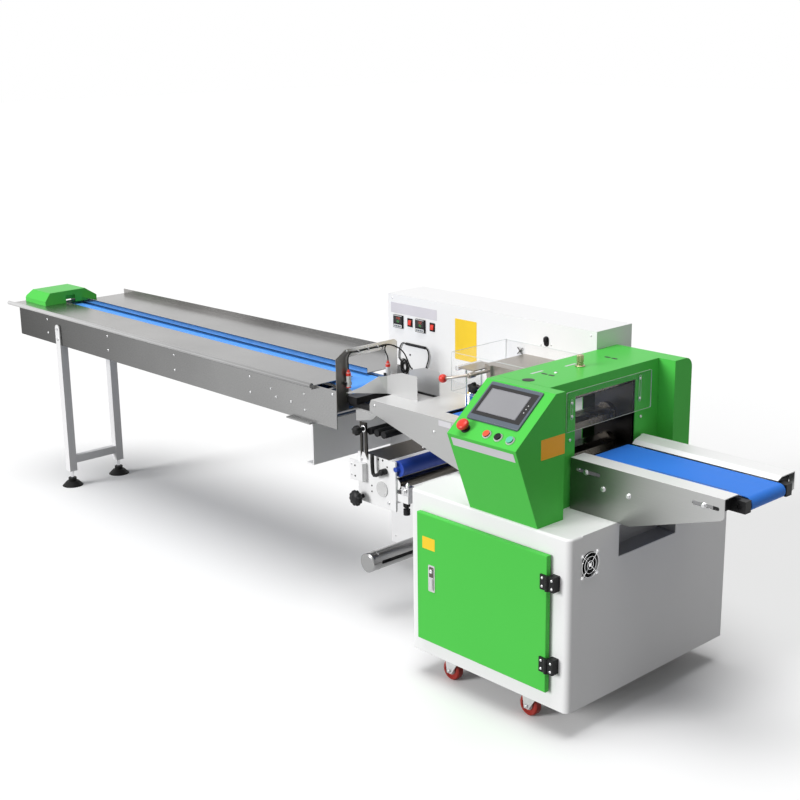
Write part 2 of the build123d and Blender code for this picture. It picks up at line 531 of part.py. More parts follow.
# A joint in a cable on the rear cabinet, its spare length in a coil and its other end into the wall.
SLEEVE_R, SLEEVE_X0, SLEEVE_X1, SLEEVE_Z = 5.5, -1405.0, -1295.0, RUN_Z + 107.0
COIL_R, COIL_X, COIL_Z = 17.0, -1416.0, RUN_Z + 10.0
with BuildPart() as wall_cable:
    y = REAR_Y0 - SLEEVE_R - 0.3
    rod_x(SLEEVE_X0, SLEEVE_X1, y, SLEEVE_Z, SLEEVE_R)
    with Locations((COIL_X, y, COIL_Z)):
        Torus(COIL_R, SLEEVE_R - 0.5, rotation=(90, 0, 0))
    drop = [(-1424, y, SLEEVE_Z + 1), (-1444, y, SLEEVE_Z - 25), (-1449, y, SLEEVE_Z - 60)]
    lead([(SLEEVE_X0 + 2, y, SLEEVE_Z), *drop, (COIL_X - 12, y, COIL_Z + 12)], (-1, 0, 0), (1, 0, -1), 2.5)
    drop = [(-1279, y, SLEEVE_Z - 12), (-1275, y, SLEEVE_Z - 34), (-1283, y, SLEEVE_Z - 62)]
    lead([(SLEEVE_X1 - 2, y, SLEEVE_Z), *drop, (-1292, y, SLEEVE_Z - 84)], (1, 0, 0), (-0.4, 0, -1), 2.5)
    rod_y(-1292, y - 4, REAR_Y0, SLEEVE_Z - 84, 4)
keep("panel_fittings", temperature_controllers, rocker_bezels, button_bezels, wall_cable)

ROCKER = [(-3, 10), (-6, 0), (-7, -10), (4, -9), (4, 9)]
for name, x in ROCKERS.items():
    with BuildPart() as rocker:
        plate_yz([(REAR_Y0 + dy, ROCKER_Z + dz) for dy, dz in ROCKER], x - 8.5, x + 8.5)
        rod_x(x - 9, x + 9, REAR_Y0 + 1, ROCKER_Z, 1.6, Mode.SUBTRACT)
    keep(name, rocker)

# Former table: top, side plates, and the turned plate under its upstream end.
with BuildPart() as former_table:
    end = [(TABLE_X0 - 8, TABLE_TOP - 46), (TABLE_X0 - 8, TABLE_TOP - 19), (TABLE_X0, TABLE_TOP)]
    outline = [*end, (TABLE_X1, TABLE_TOP), (TABLE_X1, CAB_H), (-655, CAB_H)]
    plate_xz(outline, PLANE_Y, PLANE_Y + T)
    plate_xz(outline, FAR_Y - T, FAR_Y)
    block(TABLE_X0, TABLE_X1, PLANE_Y, REAR_Y0, TABLE_TOP - T, TABLE_TOP)
    block(TABLE_BELT_X0, TABLE_X1 + 1, TABLE_BELT_Y0, TABLE_BELT_Y1, TABLE_TOP - 10, TABLE_TOP + 1, Mode.SUBTRACT)
    block(BOX_X0 + 50, BOX_X1, BOX_Y0 + 2, BOX_Y1 - 2, TABLE_TOP - 10, TABLE_TOP + 1, Mode.SUBTRACT)
    block(-654, TABLE_X1, PLANE_Y, PLANE_Y + 30, CAB_H, CAB_H + T)
    block(-654, TABLE_X1, FAR_Y - 30, FAR_Y, CAB_H, CAB_H + T)
    block(TABLE_X0 - 90, TABLE_X0 + 30, PLANE_Y + T, FAR_Y - T, TURNED_Z - T, TURNED_Z)
    skirt = [(TABLE_X0 - 90, -42), (TABLE_X0, -24), (TABLE_X0 + 60, 26), (TABLE_X0, 26), (TABLE_X0, 0), (TABLE_X0 - 90, 0)]
    plate_xz([(x, TURNED_Z + dz) for x, dz in skirt], PLANE_Y + T, PLANE_Y + 2 * T)
    plate_xz([(x, TURNED_Z + dz) for x, dz in skirt], FAR_Y - 2 * T, FAR_Y - T)
keep("former_table", former_table)

with BuildPart() as bridge_bars:
    for y in (252, 420, 560):
        block(IN_X1 + T, TABLE_X0 - 8, y, y + 26, TURNED_Z, TURNED_Z + 16)
    block(IN_X1 + T, IN_X1 + 60, 240, 586, TURNED_Z + 16, TURNED_Z + 42)

TRANSFER_X, TRANSFER_Z, TRANSFER_R, TRANSFER_SPAN = -650.0, TABLE_TOP - 32.0, 22.5, 340.0
with BuildPart() as transfer_belt:
    with BuildSketch(plane_y(TABLE_BELT_Y1 - 2)):
        with Locations((TRANSFER_X, TRANSFER_Z)):
            SlotOverall(TRANSFER_SPAN + 2 * (TRANSFER_R + BELT_T), 2 * (TRANSFER_R + BELT_T))
            SlotOverall(TRANSFER_SPAN + 2 * TRANSFER_R, 2 * TRANSFER_R, mode=Mode.SUBTRACT)
    extrude(amount=TABLE_BELT_Y1 - TABLE_BELT_Y0 - 4)
keep("transfer_belt", transfer_belt)

with BuildPart() as transfer_rollers:
    for x in (TRANSFER_X - TRANSFER_SPAN / 2, TRANSFER_X + TRANSFER_SPAN / 2):
        rod_y(x, TABLE_BELT_Y0 + 2, TABLE_BELT_Y1 - 2, TRANSFER_Z, TRANSFER_R)
        rod_y(x, PLANE_Y + T, FAR_Y - T, TRANSFER_Z, 9)

# Bag former: two walls, and a folded wing flared out from the upstream end of each.
WALL = 2.0
with BuildPart() as bag_former:
    crest = [(BOX_X1, BOX_H), (BOX_X1 - 84, BOX_H), (BOX_X1 - 140, BOX_H - 15), (BOX_X0, BOX_LOW)]
    outline = [(BOX_X0, 0), (BOX_X1, 0), *crest]
    plate_xz([(x, TABLE_TOP + dz) for x, dz in outline], BOX_Y0, BOX_Y0 + WALL)
    plate_xz([(x, TABLE_TOP + dz) for x, dz in outline], BOX_Y1 - WALL, BOX_Y1)
    fillet(bag_former.edges().filter_by(Axis.Y).group_by(Axis.X)[-1].group_by(Axis.Z)[-1], 6)
    for y, out in ((BOX_Y0, -1), (BOX_Y1, 1)):
        root = Vector(BOX_X0, y, TABLE_TOP)
        along, up = Vector(-117, out * 105, 0), Vector(-4, out * 14, BOX_LOW)
        fold = root + along * 0.12 + up
        wing = [root, root + along, root + along * 0.62 + up * 0.34, fold]
        gusset = [root, fold, root + Vector(0, 0, BOX_LOW)]
        for corners in (wing, gusset):
            sheet(corners if out < 0 else corners[::-1], WALL)
keep("bag_former", bag_former)

# Fin seal unit: frame, sealing wheel, clear cover, pull-up lever and knob.
top = FIN_FRAME_TOP
with BuildPart() as fin_seal_frame:
    block(-760, -470, FIN_FRAME_Y, FIN_FRAME_Y + 6, top - 80, top)
    block(-760, -470, FIN_FRAME_Y, REAR_Y0, top - 6, top)
    block(-760, -470, 600, 606, top - 80, top)
    block(-770, -758, FIN_FRAME_Y, REAR_Y0, top - 28, top)
    for x in (-620, -540):
        rod_y(x, FIN_FRAME_Y + 6, 600, top - 55, 16)
    block(-852, -765, 368, 492, top - 18, top - 14)
    rod_y(-850, 368, 492, top - 20, 9)
    for y in (400, 480):
        rod_z(-834, y, TABLE_TOP, top - 16, 4)

with BuildPart() as fin_wheel:
    rod_z(-871, 462, TABLE_TOP, TABLE_TOP + 36, 17)
    rod_z(-871, 462, TABLE_TOP + 36, TABLE_TOP + 42, 6)

with BuildPart() as fin_seal_cover:
    block(FIN_X0, COVER_X0 - 2, FIN_Y0, REAR_Y0, FIN_Z0, FIN_TOP)
    block(FIN_X0 + 4, COVER_X0, FIN_Y0 + 4, REAR_Y0 + 1, FIN_Z0 - 1, FIN_TOP - 4, Mode.SUBTRACT)
    rod_y(LEVER_X, FIN_Y0 - 1, FIN_Y0 + 5, LEVER_Z, 9, Mode.SUBTRACT)
    rod_y(STAR_X, FIN_Y0 - 1, FIN_Y0 + 5, STAR_Z, 12, Mode.SUBTRACT)
keep("fin_seal_cover", fin_seal_cover)

HUB_R, HUB_W, ROD_R, PIVOT_R = 10.0, 30.0, 5.0, 6.0
with BuildPart() as lift_lever:
    rod_y(LEVER_X, LEVER_Y - HUB_W / 2, LEVER_Y + HUB_W / 2, LEVER_Z, HUB_R)
    reach = Vector(BALL_X - LEVER_X, 0, BALL_Z - LEVER_Z)
    with BuildSketch(Plane(origin=(LEVER_X, LEVER_Y, LEVER_Z), x_dir=reach, z_dir=(0, 1, 0))):
        with BuildLine():
            neck = reach.length - (BALL_R**2 - ROD_R**2) ** 0.5
            tip = reach.length + (BALL_R**2 - 4) ** 0.5
            Polyline((tip, 2), (tip, 0), (HUB_R - 2, 0), (HUB_R - 2, ROD_R), (neck, ROD_R))
            ThreePointArc((neck, ROD_R), (reach.length, BALL_R), (tip, 2))
        make_face()
    revolve(axis=Axis((LEVER_X, LEVER_Y, LEVER_Z), reach))
    rod_y(LEVER_X, LEVER_Y - HUB_W, LEVER_Y + HUB_W, LEVER_Z, PIVOT_R + 0.5, Mode.SUBTRACT)
keep("lift_lever", lift_lever)

with BuildPart() as lever_pivot:
    rod_y(LEVER_X, LEVER_Y - HUB_W / 2 - 4, FIN_FRAME_Y, LEVER_Z, PIVOT_R)
    block(LEVER_X - 10, LEVER_X + 10, FIN_FRAME_Y - 10, FIN_FRAME_Y, LEVER_Z - 20, LEVER_Z + 20)

with BuildPart() as fin_knob:
    rod_y(STAR_X, STAR_Y - 11, STAR_Y + 11, STAR_Z, STAR_R)
    rod_y(STAR_X, STAR_Y + 11, STAR_Y + 26, STAR_Z, 8)
    rod_y(STAR_X, STAR_Y + 4, STAR_Y + 27, STAR_Z, 4.5, Mode.SUBTRACT)
keep("fin_knob", fin_knob)

with BuildPart() as knob_stud:
    rod_y(STAR_X, STAR_Y + 5, FIN_FRAME_Y, STAR_Z, 4)
keep("fin_seal_frame", fin_seal_frame, fin_wheel, lever_pivot, knob_stud)

# Film unit on the near side of the rear cabinet.
with BuildPart() as film_plate:
    block(FILM_X0, FILM_X1, FILM_Y0, FILM_Y1, FILM_Z0, FILM_Z1)
    rod_y(FEED_X, FILM_Y0 - 1, FILM_Y1 + 1, FEED_Z, 10, Mode.SUBTRACT)
    arm = [(-16, FILM_Z1 - 20), (22, FILM_Z1 - 20), (18, ARM_Z + 26), (-18, ARM_Z + 26)]
    plate_xz([(ARM_X + dx, z) for dx, z in arm], FILM_Y0 - ARM_T, FILM_Y0)
    block(ARM_X - 5, ARM_X + 7, FILM_Y0 - ARM_T - 1, FILM_Y0, FILM_Z1 + 6, ARM_Z + 16, Mode.SUBTRACT)
    block(ARM_X - 13, ARM_X + 13, FILM_Y0 - ARM_T, FILM_Y0, ARM_Z - 8, ARM_Z + 8)
    for x, z in ((FILM_X0 + 20, FILM_Z0 + 26), (FILM_X0 + 20, FILM_Z1 - 26), (FILM_X1 - 38, FILM_Z0 + 26)):
        rod_y(x, FILM_Y1, REAR_Y0, z, 11)
    block(FILM_X0 + 38, FEED_X - FEED_R - 6, FILM_Y0, REAR_Y0, FILM_Z1, FILM_Z1 + 2)
    rod_y(CLAMP_X, 174, FILM_Y0, CLAMP_Z, 4)
    rod_y(TENSION_X, 156, FILM_Y0, TENSION_Z, 4)
    rod_y(ARM_X, 156, FILM_Y0 - ARM_T, ARM_Z, 4)
    block(FILM_X0 - 6, FILM_X0 + 50, FILM_Y0 - 24, FILM_Y0, FILM_Z0 + 86, FILM_Z0 + 156)
    block(FILM_X0 - 42, FILM_X0 - 6, FILM_Y0 - 6, FILM_Y0 - 2, FILM_Z0 + 76, FILM_Z0 + 156)
    block(FILM_X1 - 30, FILM_X1 + 58, FILM_Y1, FILM_Y1 + 34, FILM_Z0 + 42, FILM_Z0 + 72)
    block(FILM_X1 + 20, FILM_X1 + 58, FILM_Y1 + 2, FILM_Y1 + 32, FILM_Z0 + 72, FILM_Z0 + 104)
    rod_z(FILM_X1 + 32, FILM_Y1 + 17, FILM_Z0 + 14, FILM_Z0 + 42, 6)
    rod_z(FILM_X1 + 32, FILM_Y1 + 17, FILM_Z0 - 8, FILM_Z0 + 14, 13)

with BuildPart() as bearing_cover:
    rod_y(-1075, FILM_Y0 - 4, FILM_Y0, FILM_Z0 + 73, 30)

with BuildPart() as nip_roller:
    rod_y(FEED_X - 2, FILM_Y1, REAR_Y0, FEED_Z - 58, 22)
keep("film_plate", film_plate, bearing_cover, nip_roller)

with BuildPart() as feed_roller:
    rod_y(FEED_X, FILM_Y0 + 16, REAR_Y0 - 8, FEED_Z, FEED_R)
    rod_y(FEED_X, FILM_Y0 + 1, REAR_Y0 - 0.5, FEED_Z, 9.5)
keep("feed_roller", feed_roller)

with BuildPart() as guide_rollers:
    for x in (-1150, -1112, -1074):
        rod_y(x, FILM_Y0 + 8, REAR_Y0, ARM_Z - 8, 14)
keep("guide_rollers", guide_rollers)

STUD_CLEAR = 4.1
with BuildPart() as arm_knob:
    rod_y(ARM_X, 150, 176, ARM_Z, 19)
    rod_y(ARM_X, 176, FILM_Y0 - ARM_T - 0.5, ARM_Z, 9)
    rod_y(ARM_X, 155, FILM_Y0, ARM_Z, STUD_CLEAR, Mode.SUBTRACT)
keep("arm_knob", arm_knob)

GRIP = [(4, -11), (-36, -32), (-52, -28), (-56, 56), (-41, 58), (-36, -10), (-4, 11)]
with BuildPart() as film_lever:
    rod_y(CLAMP_X, 170, FILM_Y0 - 0.5, CLAMP_Z, 12)
    plate_xz([(CLAMP_X + dx, CLAMP_Z + dz) for dx, dz in GRIP], 172, 186)
    rod_y(CLAMP_X, 173, FILM_Y0 + 1, CLAMP_Z, STUD_CLEAR, Mode.SUBTRACT)
keep("film_lever", film_lever)

with BuildPart() as tension_knob:
    rod_y(TENSION_X, 150, 172, TENSION_Z, 31)
    chamfer(tension_knob.edges().filter_by(GeomType.CIRCLE), 4)
    rod_y(TENSION_X, 172, FILM_Y0 - 0.5, TENSION_Z, 8)
    rod_y(TENSION_X, 155, FILM_Y0 + 1, TENSION_Z, STUD_CLEAR, Mode.SUBTRACT)
keep("tension_knob", tension_knob)

# Film roll mandrel: a tube with a capped end and a slot for its clamping bar, and its bearing.
with BuildPart() as roll_mandrel:
    rod_y(SHAFT_X, SHAFT_Y0, REAR_Y0 - 6, SHAFT_Z, SHAFT_R)
    chamfer(roll_mandrel.edges().filter_by(GeomType.CIRCLE).group_by(Axis.Y)[0], 4)
    edge = SHAFT_X + SHAFT_R
    block(edge - 8, edge + 1, SHAFT_Y0 + 45, REAR_Y0 - 80, SHAFT_Z - 7, SHAFT_Z + 7, Mode.SUBTRACT)
    block(edge - 8, edge - 2, SHAFT_Y0 + 90, REAR_Y0 - 120, SHAFT_Z - 5, SHAFT_Z + 5)
    rod_y(SHAFT_X, REAR_Y0 - 6, REAR_Y0 - 0.5, SHAFT_Z, 12)
keep("roll_mandrel", roll_mandrel)

with BuildPart() as mandrel_bearing:
    rod_y(SHAFT_X, REAR_Y0 - 14, REAR_Y0, SHAFT_Z, SHAFT_R + 14)
    rod_y(SHAFT_X, REAR_Y0 - 15, REAR_Y0 + 1, SHAFT_Z, SHAFT_R + 1, Mode.SUBTRACT)
keep("mandrel_bearing", mandrel_bearing)

# Infeed conveyor.
with BuildPart() as infeed_frame:
    block(IN_X0, IN_X1, IN_Y0, IN_Y0 + T, IN_Z0, IN_Z1)
    block(IN_X0, IN_X1, IN_Y1 - T, IN_Y1, IN_Z0, IN_Z1)
    block(IN_X0 + 70, IN_X1 - 70, IN_BELT_Y0 + 2, IN_BELT_Y1 - 2, RUN_Z - 14, RUN_Z - 4)
    for x in range(int(IN_X0) + 120, int(IN_X1) - 60, 560):
        rod_y(x, IN_Y0 + T, IN_Y1 - T, RUN_Z - 20, 8)
        rod_y(x, IN_Y0 + T, IN_Y1 - T, IN_Z0 + 25, 10)
keep("infeed_frame", infeed_frame)

END_GAP = 12.0  # from the frame's ends to the belt
with BuildPart() as infeed_belt:
    with BuildSketch(plane_y(IN_BELT_Y1)):
        with Locations(((IN_X0 + IN_X1) / 2, IN_ROLLER_Z)):
            SlotOverall(IN_X1 - IN_X0 - 2 * END_GAP, 2 * (IN_ROLLER_R + BELT_T))
            SlotOverall(IN_X1 - IN_X0 - 2 * (END_GAP + BELT_T), 2 * IN_ROLLER_R, mode=Mode.SUBTRACT)
    extrude(amount=IN_BELT_Y1 - IN_BELT_Y0)
keep("infeed_belt", infeed_belt)

with BuildPart() as infeed_rollers:
    inset = END_GAP + BELT_T + IN_ROLLER_R
    for x in (IN_X0 + inset, IN_X1 - inset):
        rod_y(x, IN_BELT_Y0, IN_BELT_Y1, IN_ROLLER_Z, IN_ROLLER_R)
        rod_y(x, IN_Y0 + T, IN_Y1 - T, IN_ROLLER_Z, 9)
keep("belt_rollers", infeed_rollers, transfer_rollers, discharge_rollers, nose_blocks, bridge_bars)

# Trays beside the infeed belt: the near one hemmed, the far one flared with a turned-up lip.
with BuildPart() as near_tray:
    block(-3860, TRAY_X1, HEM_Y, CHANNEL_Y0, TRAY_TOP - T, TRAY_TOP)
    rod_x(-3868, TRAY_X1, HEM_Y, TRAY_TOP, HEM_R)
    block(TRAY_X1 - T, TRAY_X1, HEM_Y, IN_Y0, TRAY_TOP - 16, TRAY_TOP)

with BuildPart() as far_tray:
    wide = REAR_X0 - 15
    leaf = [(-3660, CHANNEL_Y1), (TRAY_X1, CHANNEL_Y1), (TRAY_X1, REAR_Y0 - 5), (wide, REAR_Y0 - 5)]
    plate_xy([*leaf, (wide, FAR_TRAY_Y1), (-3660, FAR_TRAY_Y0)], TRAY_TOP - T, TRAY_TOP)
    block(-3636, TRAY_X1, CHANNEL_Y1, CHANNEL_Y1 + 2, TRAY_TOP, TRAY_TOP + GUIDE_H)
    lip = [(-3660, FAR_TRAY_Y0 - T), (wide, FAR_TRAY_Y1 - T), (wide, FAR_TRAY_Y1), (-3660, FAR_TRAY_Y0)]
    plate_xy(lip, TRAY_TOP - T, TRAY_TOP + LIP_H)
    gusset = [(IN_Y1, TRAY_TOP - T), (700, TRAY_TOP - T), (700, TRAY_TOP - 12), (IN_Y1, TRAY_TOP - 90)]
    for x in (-3300, -2500, -1700):
        plate_yz(gusset, x - 2, x + 2)
keep("infeed_trays", near_tray, far_tray)

END_X0, END_X1 = -3844.0, -3640.0
with BuildPart() as end_cover:
    hood = [(251, 0), (251, 21), (280, 61), (478, 63), (543, 21), (543, 0)]
    plate_yz([(y, TRAY_TOP + dz) for y, dz in hood], END_X0, END_X1)
    chamfer(end_cover.faces().sort_by(Axis.X)[0].edges().sort_by(Axis.Z)[-1], 30)
    block(END_X0 - 56, END_X1 - 2, 258, 536, TRAY_TOP - 1, TRAY_TOP + 15, Mode.SUBTRACT)
    block(END_X1 - 20, END_X1 + 10, 367, 420, TRAY_TOP - 1, TRAY_TOP + 38, Mode.SUBTRACT)
keep("end_cover", end_cover)

with BuildPart() as infeed_legs:
    strip_top = IN_Z0 + 81
    for y in LEG_YS.values():
        block(LEG_X - LEG_W / 2, LEG_X + LEG_W / 2, y, y + LEG_W, LEG_Z0, IN_Z0)
    for y in (IN_Y0 - 6, IN_Y1):
        block(LEG_X - LEG_W / 2, LEG_X + LEG_W / 2, y, y + 6, IN_Z0, strip_top)
        rod_y(LEG_X, y, y + 6, strip_top, LEG_W / 2)
    block(LEG_X - 15, LEG_X + 15, LEG_YS["near"] + LEG_W, LEG_YS["far"], 18, 56)

with BuildPart() as levelling_feet:
    for y in LEG_YS.values():
        rod_z(LEG_X, y + LEG_W / 2, FLOOR + 12, LEG_Z0, 8)
        with BuildSketch(Plane.XY.offset(FLOOR)):
            with Locations((LEG_X, y + LEG_W / 2)):
                Circle(52)
        with BuildSketch(Plane.XY.offset(FLOOR + 22)):
            with Locations((LEG_X, y + LEG_W / 2)):
                Circle(30)
        loft()
        rod_z(LEG_X, y + LEG_W / 2, FLOOR + 22, FLOOR + 40, 20)
keep("levelling_feet", levelling_feet)

with BuildPart() as support_bracket:
    shelf = IN_Z0 - 194
    block(REAR_X0 + 3, REAR_X0 + 8, PLANE_Y, REAR_Y0, shelf, IN_Z0)
    block(REAR_X0 - 35, REAR_X0 + 3, PLANE_Y, REAR_Y0, shelf, shelf + 5)
    block(-1604, -1459, IN_Y0 - 20, IN_Y1, IN_Z0 - 6, IN_Z0)
keep("infeed_supports", infeed_legs, support_bracket)

# Sensor arch over the end of the infeed belt.
with BuildPart() as sensor_arch:
    foot = IN_Z0 + 69
    crown = [(ARCH_Y1, ARCH_TOP - 12), (ARCH_Y1 - 13, ARCH_TOP), (IN_Y0 + 50, ARCH_TOP), (IN_Y0, ARCH_TOP - 31)]
    plate_yz([(IN_Y0, foot), (ARCH_Y1, foot), *crown], IN_X1, IN_X1 + T)
    block(IN_X1 - 1, IN_X1 + T + 1, IN_Y0 + ARCH_W, ARCH_Y1 - ARCH_W, foot - 1, ARCH_TOP - 32, Mode.SUBTRACT)
keep("sensor_arch", sensor_arch)

SENSOR_X, SENSOR_YS, SENSOR_Z1 = IN_X1 + 16, (240.0, 443.0), RUN_Z + 78.0
LEAD_R, LEAD_X, LEAD_Z = 2.5, IN_X1 + T + 5.5, ARCH_TOP - 16.0
with BuildPart() as arch_sensors:
    for y in SENSOR_YS:
        rod_z(SENSOR_X, y, SENSOR_Z1 - 60, SENSOR_Z1, 9)
        block(IN_X1 + T, IN_X1 + 20, y - 12, y + 12, SENSOR_Z1 - 50, SENSOR_Z1 - 38)
    near, far = SENSOR_YS
    bar = [(LEAD_X, y, LEAD_Z) for y in (near + 18, near + 40, near + 80, near + 130, near + 180, far + 10)]
    rise = [(SENSOR_X, near, SENSOR_Z1 - 2), (SENSOR_X - 1, near, LEAD_Z - 40), (SENSOR_X - 4, near + 4, LEAD_Z - 12)]
    fall = [(LEAD_X, 505, LEAD_Z - 20), (LEAD_X, 545, LEAD_Z - 60), (LEAD_X + 4, 572, LEAD_Z - 115)]
    lead([*rise, *bar, *fall, (LEAD_X + 6, 574, RUN_Z - 15)], (0, 0, 1), (0, 0, -1), LEAD_R)
    branch = [(SENSOR_X, far, SENSOR_Z1 + 22), (SENSOR_X - 3, far - 8, LEAD_Z - 26)]
    lead([(SENSOR_X, far, SENSOR_Z1 - 2), *branch, (LEAD_X, far, LEAD_Z)], (0, 0, 1), (0, 1, 0.6), LEAD_R)
keep("arch_sensors", arch_sensors)

# Move everything so the origin is on the floor at the middle of the machine.
boxes = [part.bounding_box() for part in pieces.values()]
x0, x1 = min(b.min.X for b in boxes), max(b.max.X for b in boxes)
y0, y1 = min(b.min.Y for b in boxes), max(b.max.Y for b in boxes)
z0 = min(b.min.Z for b in boxes)
shift = Location((-(x0 + x1) / 2, -(y0 + y1) / 2, -z0))
print("span", x0, x1, y0, y1, z0, "top", max(b.max.Z for b in boxes))

os.makedirs("parts", exist_ok=True)
for name, part in pieces.items():
    moved = part.moved(shift)
    moved.label = name
    export_step(moved, "parts/" + name + ".step")
print(len(pieces), "pieces")
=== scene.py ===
"""Looks of the horizontal flow wrapper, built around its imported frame.

Places are given in the layout's millimetres: x downstream, y away from the operator and z up from the
main cabinet's front right bottom corner. place() turns them into the frame's metres.
"""

import json
from math import cos, pi, radians, sin

import bmesh
import bpy
from mathutils import Matrix, Vector


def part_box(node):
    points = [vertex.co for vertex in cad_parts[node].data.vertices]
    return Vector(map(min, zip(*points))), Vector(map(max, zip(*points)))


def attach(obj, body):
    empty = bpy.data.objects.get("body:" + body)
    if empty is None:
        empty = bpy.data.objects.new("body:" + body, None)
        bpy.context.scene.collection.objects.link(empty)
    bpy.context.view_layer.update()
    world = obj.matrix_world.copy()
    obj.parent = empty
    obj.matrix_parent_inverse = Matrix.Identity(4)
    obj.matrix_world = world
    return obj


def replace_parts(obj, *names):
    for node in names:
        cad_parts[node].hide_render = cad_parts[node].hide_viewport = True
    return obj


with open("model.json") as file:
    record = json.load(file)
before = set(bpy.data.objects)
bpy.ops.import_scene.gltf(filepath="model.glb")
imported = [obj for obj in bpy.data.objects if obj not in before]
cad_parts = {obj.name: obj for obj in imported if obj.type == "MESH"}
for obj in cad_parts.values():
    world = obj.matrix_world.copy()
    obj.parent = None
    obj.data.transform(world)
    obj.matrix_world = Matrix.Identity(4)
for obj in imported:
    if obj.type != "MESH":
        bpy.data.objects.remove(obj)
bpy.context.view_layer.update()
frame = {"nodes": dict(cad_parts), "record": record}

low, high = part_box("cabinet_front")
CORNER = Vector((high.x, low.y, low.z))
X, Y, Z = Vector((1, 0, 0)), Vector((0, 1, 0)), Vector((0, 0, 1))
SLOPE_UP = Vector((0, 0.78335, 0.62159))
SLOPE_OUT = Vector((0, -0.62159, 0.78335))
POD_LIP = Vector((0, -100, 864))
POD_FRONT_UP = Vector((0, -106, 276)).normalized()


def place(x, y, z):
    return CORNER + Vector((x, y, z)) / 1000


def on_slope(x, s, out=0.0):
    """Place on the pod's sloping panel: s up the slope from its lower edge, out from its face."""
    p = Vector((x, 0, 0)) + POD_LIP + SLOPE_UP * s + SLOPE_OUT * out
    return place(*p)


def on_pod_front(x, z):
    """Place on the pod's front panel at that height."""
    return place(x, 6 - 106 * (z - 588) / 276, z)


# Materials.


def scaled(color, k):
    return tuple(min(1.0, c * k) for c in color)


class Graph:
    """Short way to add nodes to a material."""

    def __init__(self, name):
        self.mat = bpy.data.materials.new(name)
        self.mat.use_nodes = True
        self.tree = self.mat.node_tree
        self.shader = self.tree.nodes["Principled BSDF"]
        self.coords = self.tree.nodes.new("ShaderNodeTexCoord").outputs["Object"]

    def node(self, kind, **values):
        node = self.tree.nodes.new("ShaderNode" + kind)
        for key, value in values.items():
            if key in node.inputs:
                node.inputs[key].default_value = value
            else:
                setattr(node, key, value)
        return node

    def link(self, a, b):
        self.tree.links.new(a, b)

    def noise(self, scale, detail=2.0, stretch=(1, 1, 1), rough=0.5):
        mapping = self.node("Mapping", Scale=stretch)
        self.link(self.coords, mapping.inputs["Vector"])
        noise = self.node("TexNoise", Scale=scale, Detail=detail, Roughness=rough)
        self.link(mapping.outputs["Vector"], noise.inputs["Vector"])
        return noise.outputs["Fac"]

    def mix(self, fac, a, b, blend="MIX"):
        mix = self.node("Mix", data_type="RGBA", blend_type=blend)
        if isinstance(fac, float):
            mix.inputs[0].default_value = fac
        else:
            self.link(fac, mix.inputs[0])
        for socket, value in ((mix.inputs[6], a), (mix.inputs[7], b)):
            if isinstance(value, tuple):
                socket.default_value = (*value, 1)
            else:
                self.link(value, socket)
        return mix.outputs[2]

    def span(self, fac, low, high, start=0.0, end=1.0):
        span = self.node("MapRange")
        for key, value in (("From Min", start), ("From Max", end), ("To Min", low), ("To Max", high)):
            span.inputs[key].default_value = value
        self.link(fac, span.inputs["Value"])
        return span.outputs["Result"]

    def across(self, axis, start, end):
        """0 to 1 along an axis of the frame, between two places in the layout's millimetres."""
        split = self.node("SeparateXYZ")
        self.link(self.coords, split.inputs["Vector"])
        origin = CORNER["XYZ".index(axis)]
        return self.span(split.outputs[axis], 0.0, 1.0, origin + start / 1000, origin + end / 1000)

    def bump(self, height, strength, distance, soften=0.0):
        bump = self.node("Bump", Strength=strength, Distance=distance)
        self.link(height, bump.inputs["Height"])
        if soften:
            bevel = self.node("Bevel", Radius=soften / 1000, samples=4)
            self.link(bevel.outputs["Normal"], bump.inputs["Normal"])
        self.link(bump.outputs["Normal"], self.shader.inputs["Normal"])

    def color(self, socket):
        self.link(socket, self.shader.inputs["Base Color"])

    def rough(self, socket):
        self.link(socket, self.shader.inputs["Roughness"])

    def set(self, **values):
        for key, value in values.items():
            self.shader.inputs[key.replace("_", " ")].default_value = value


def paint(name, color, rough=0.36, peel=0.05, spread=0.035, shine=0.3):
    """Powder coat: orange peel, a faint cloudy tone, dust in the coat and softened sheet edges."""
    g = Graph(name)
    cloud = g.noise(2.2, 3)
    dust = g.noise(260, 2)
    tone = g.mix(cloud, scaled(color, 1 - spread), scaled(color, 1 + spread))
    g.color(g.mix(g.span(dust, 0.0, 0.25, 0.55, 0.75), tone, scaled(color, 0.93)))
    g.rough(g.span(cloud, rough - 0.06, rough + 0.08))
    g.bump(g.noise(420, 2), peel, 0.0004, 1.4)
    g.set(Specular_IOR_Level=shine)
    return g.mat


def steel(name, color, rough=0.3, along="X", line=0.16, shade=0.1, metal=1.0, reflection_fade=None):
    """Brushed stainless sheet: hair lines along one axis that vary its gloss, with soft patches in tone that are
    painted reflection; shade sets how far they move the tone.
    The last argument is (axis, start, end, colour there): the tone changes slowly along the sheet, a painted
    reflection."""
    g = Graph(name)
    stretch = {"X": (1.2, 60, 60), "Y": (60, 1.2, 60), "Z": (60, 60, 1.2)}[along]
    hair = g.noise(12, 5, stretch, 0.7)
    # Soft noise that lightens and darkens the tone: painted reflection.
    painted_reflection = g.noise(2.1, 3)
    base = g.mix(painted_reflection, scaled(color, 1 - shade), scaled(color, 1 + shade))
    if reflection_fade:
        axis, start, end, far = reflection_fade
        tail = g.mix(painted_reflection, scaled(far, 1 - shade), scaled(far, 1 + shade))
        base = g.mix(g.across(axis, start, end), base, tail)
    g.color(g.mix(g.span(hair, 0.0, 0.35), base, g.mix(1.0, base, (0.7, 0.7, 0.7), "MULTIPLY")))
    g.rough(g.span(hair, rough - 0.07, rough + 0.1))
    g.bump(hair, line, 0.0002, 0.8)
    g.set(Metallic=metal, Anisotropic=0.3)
    return g.mat


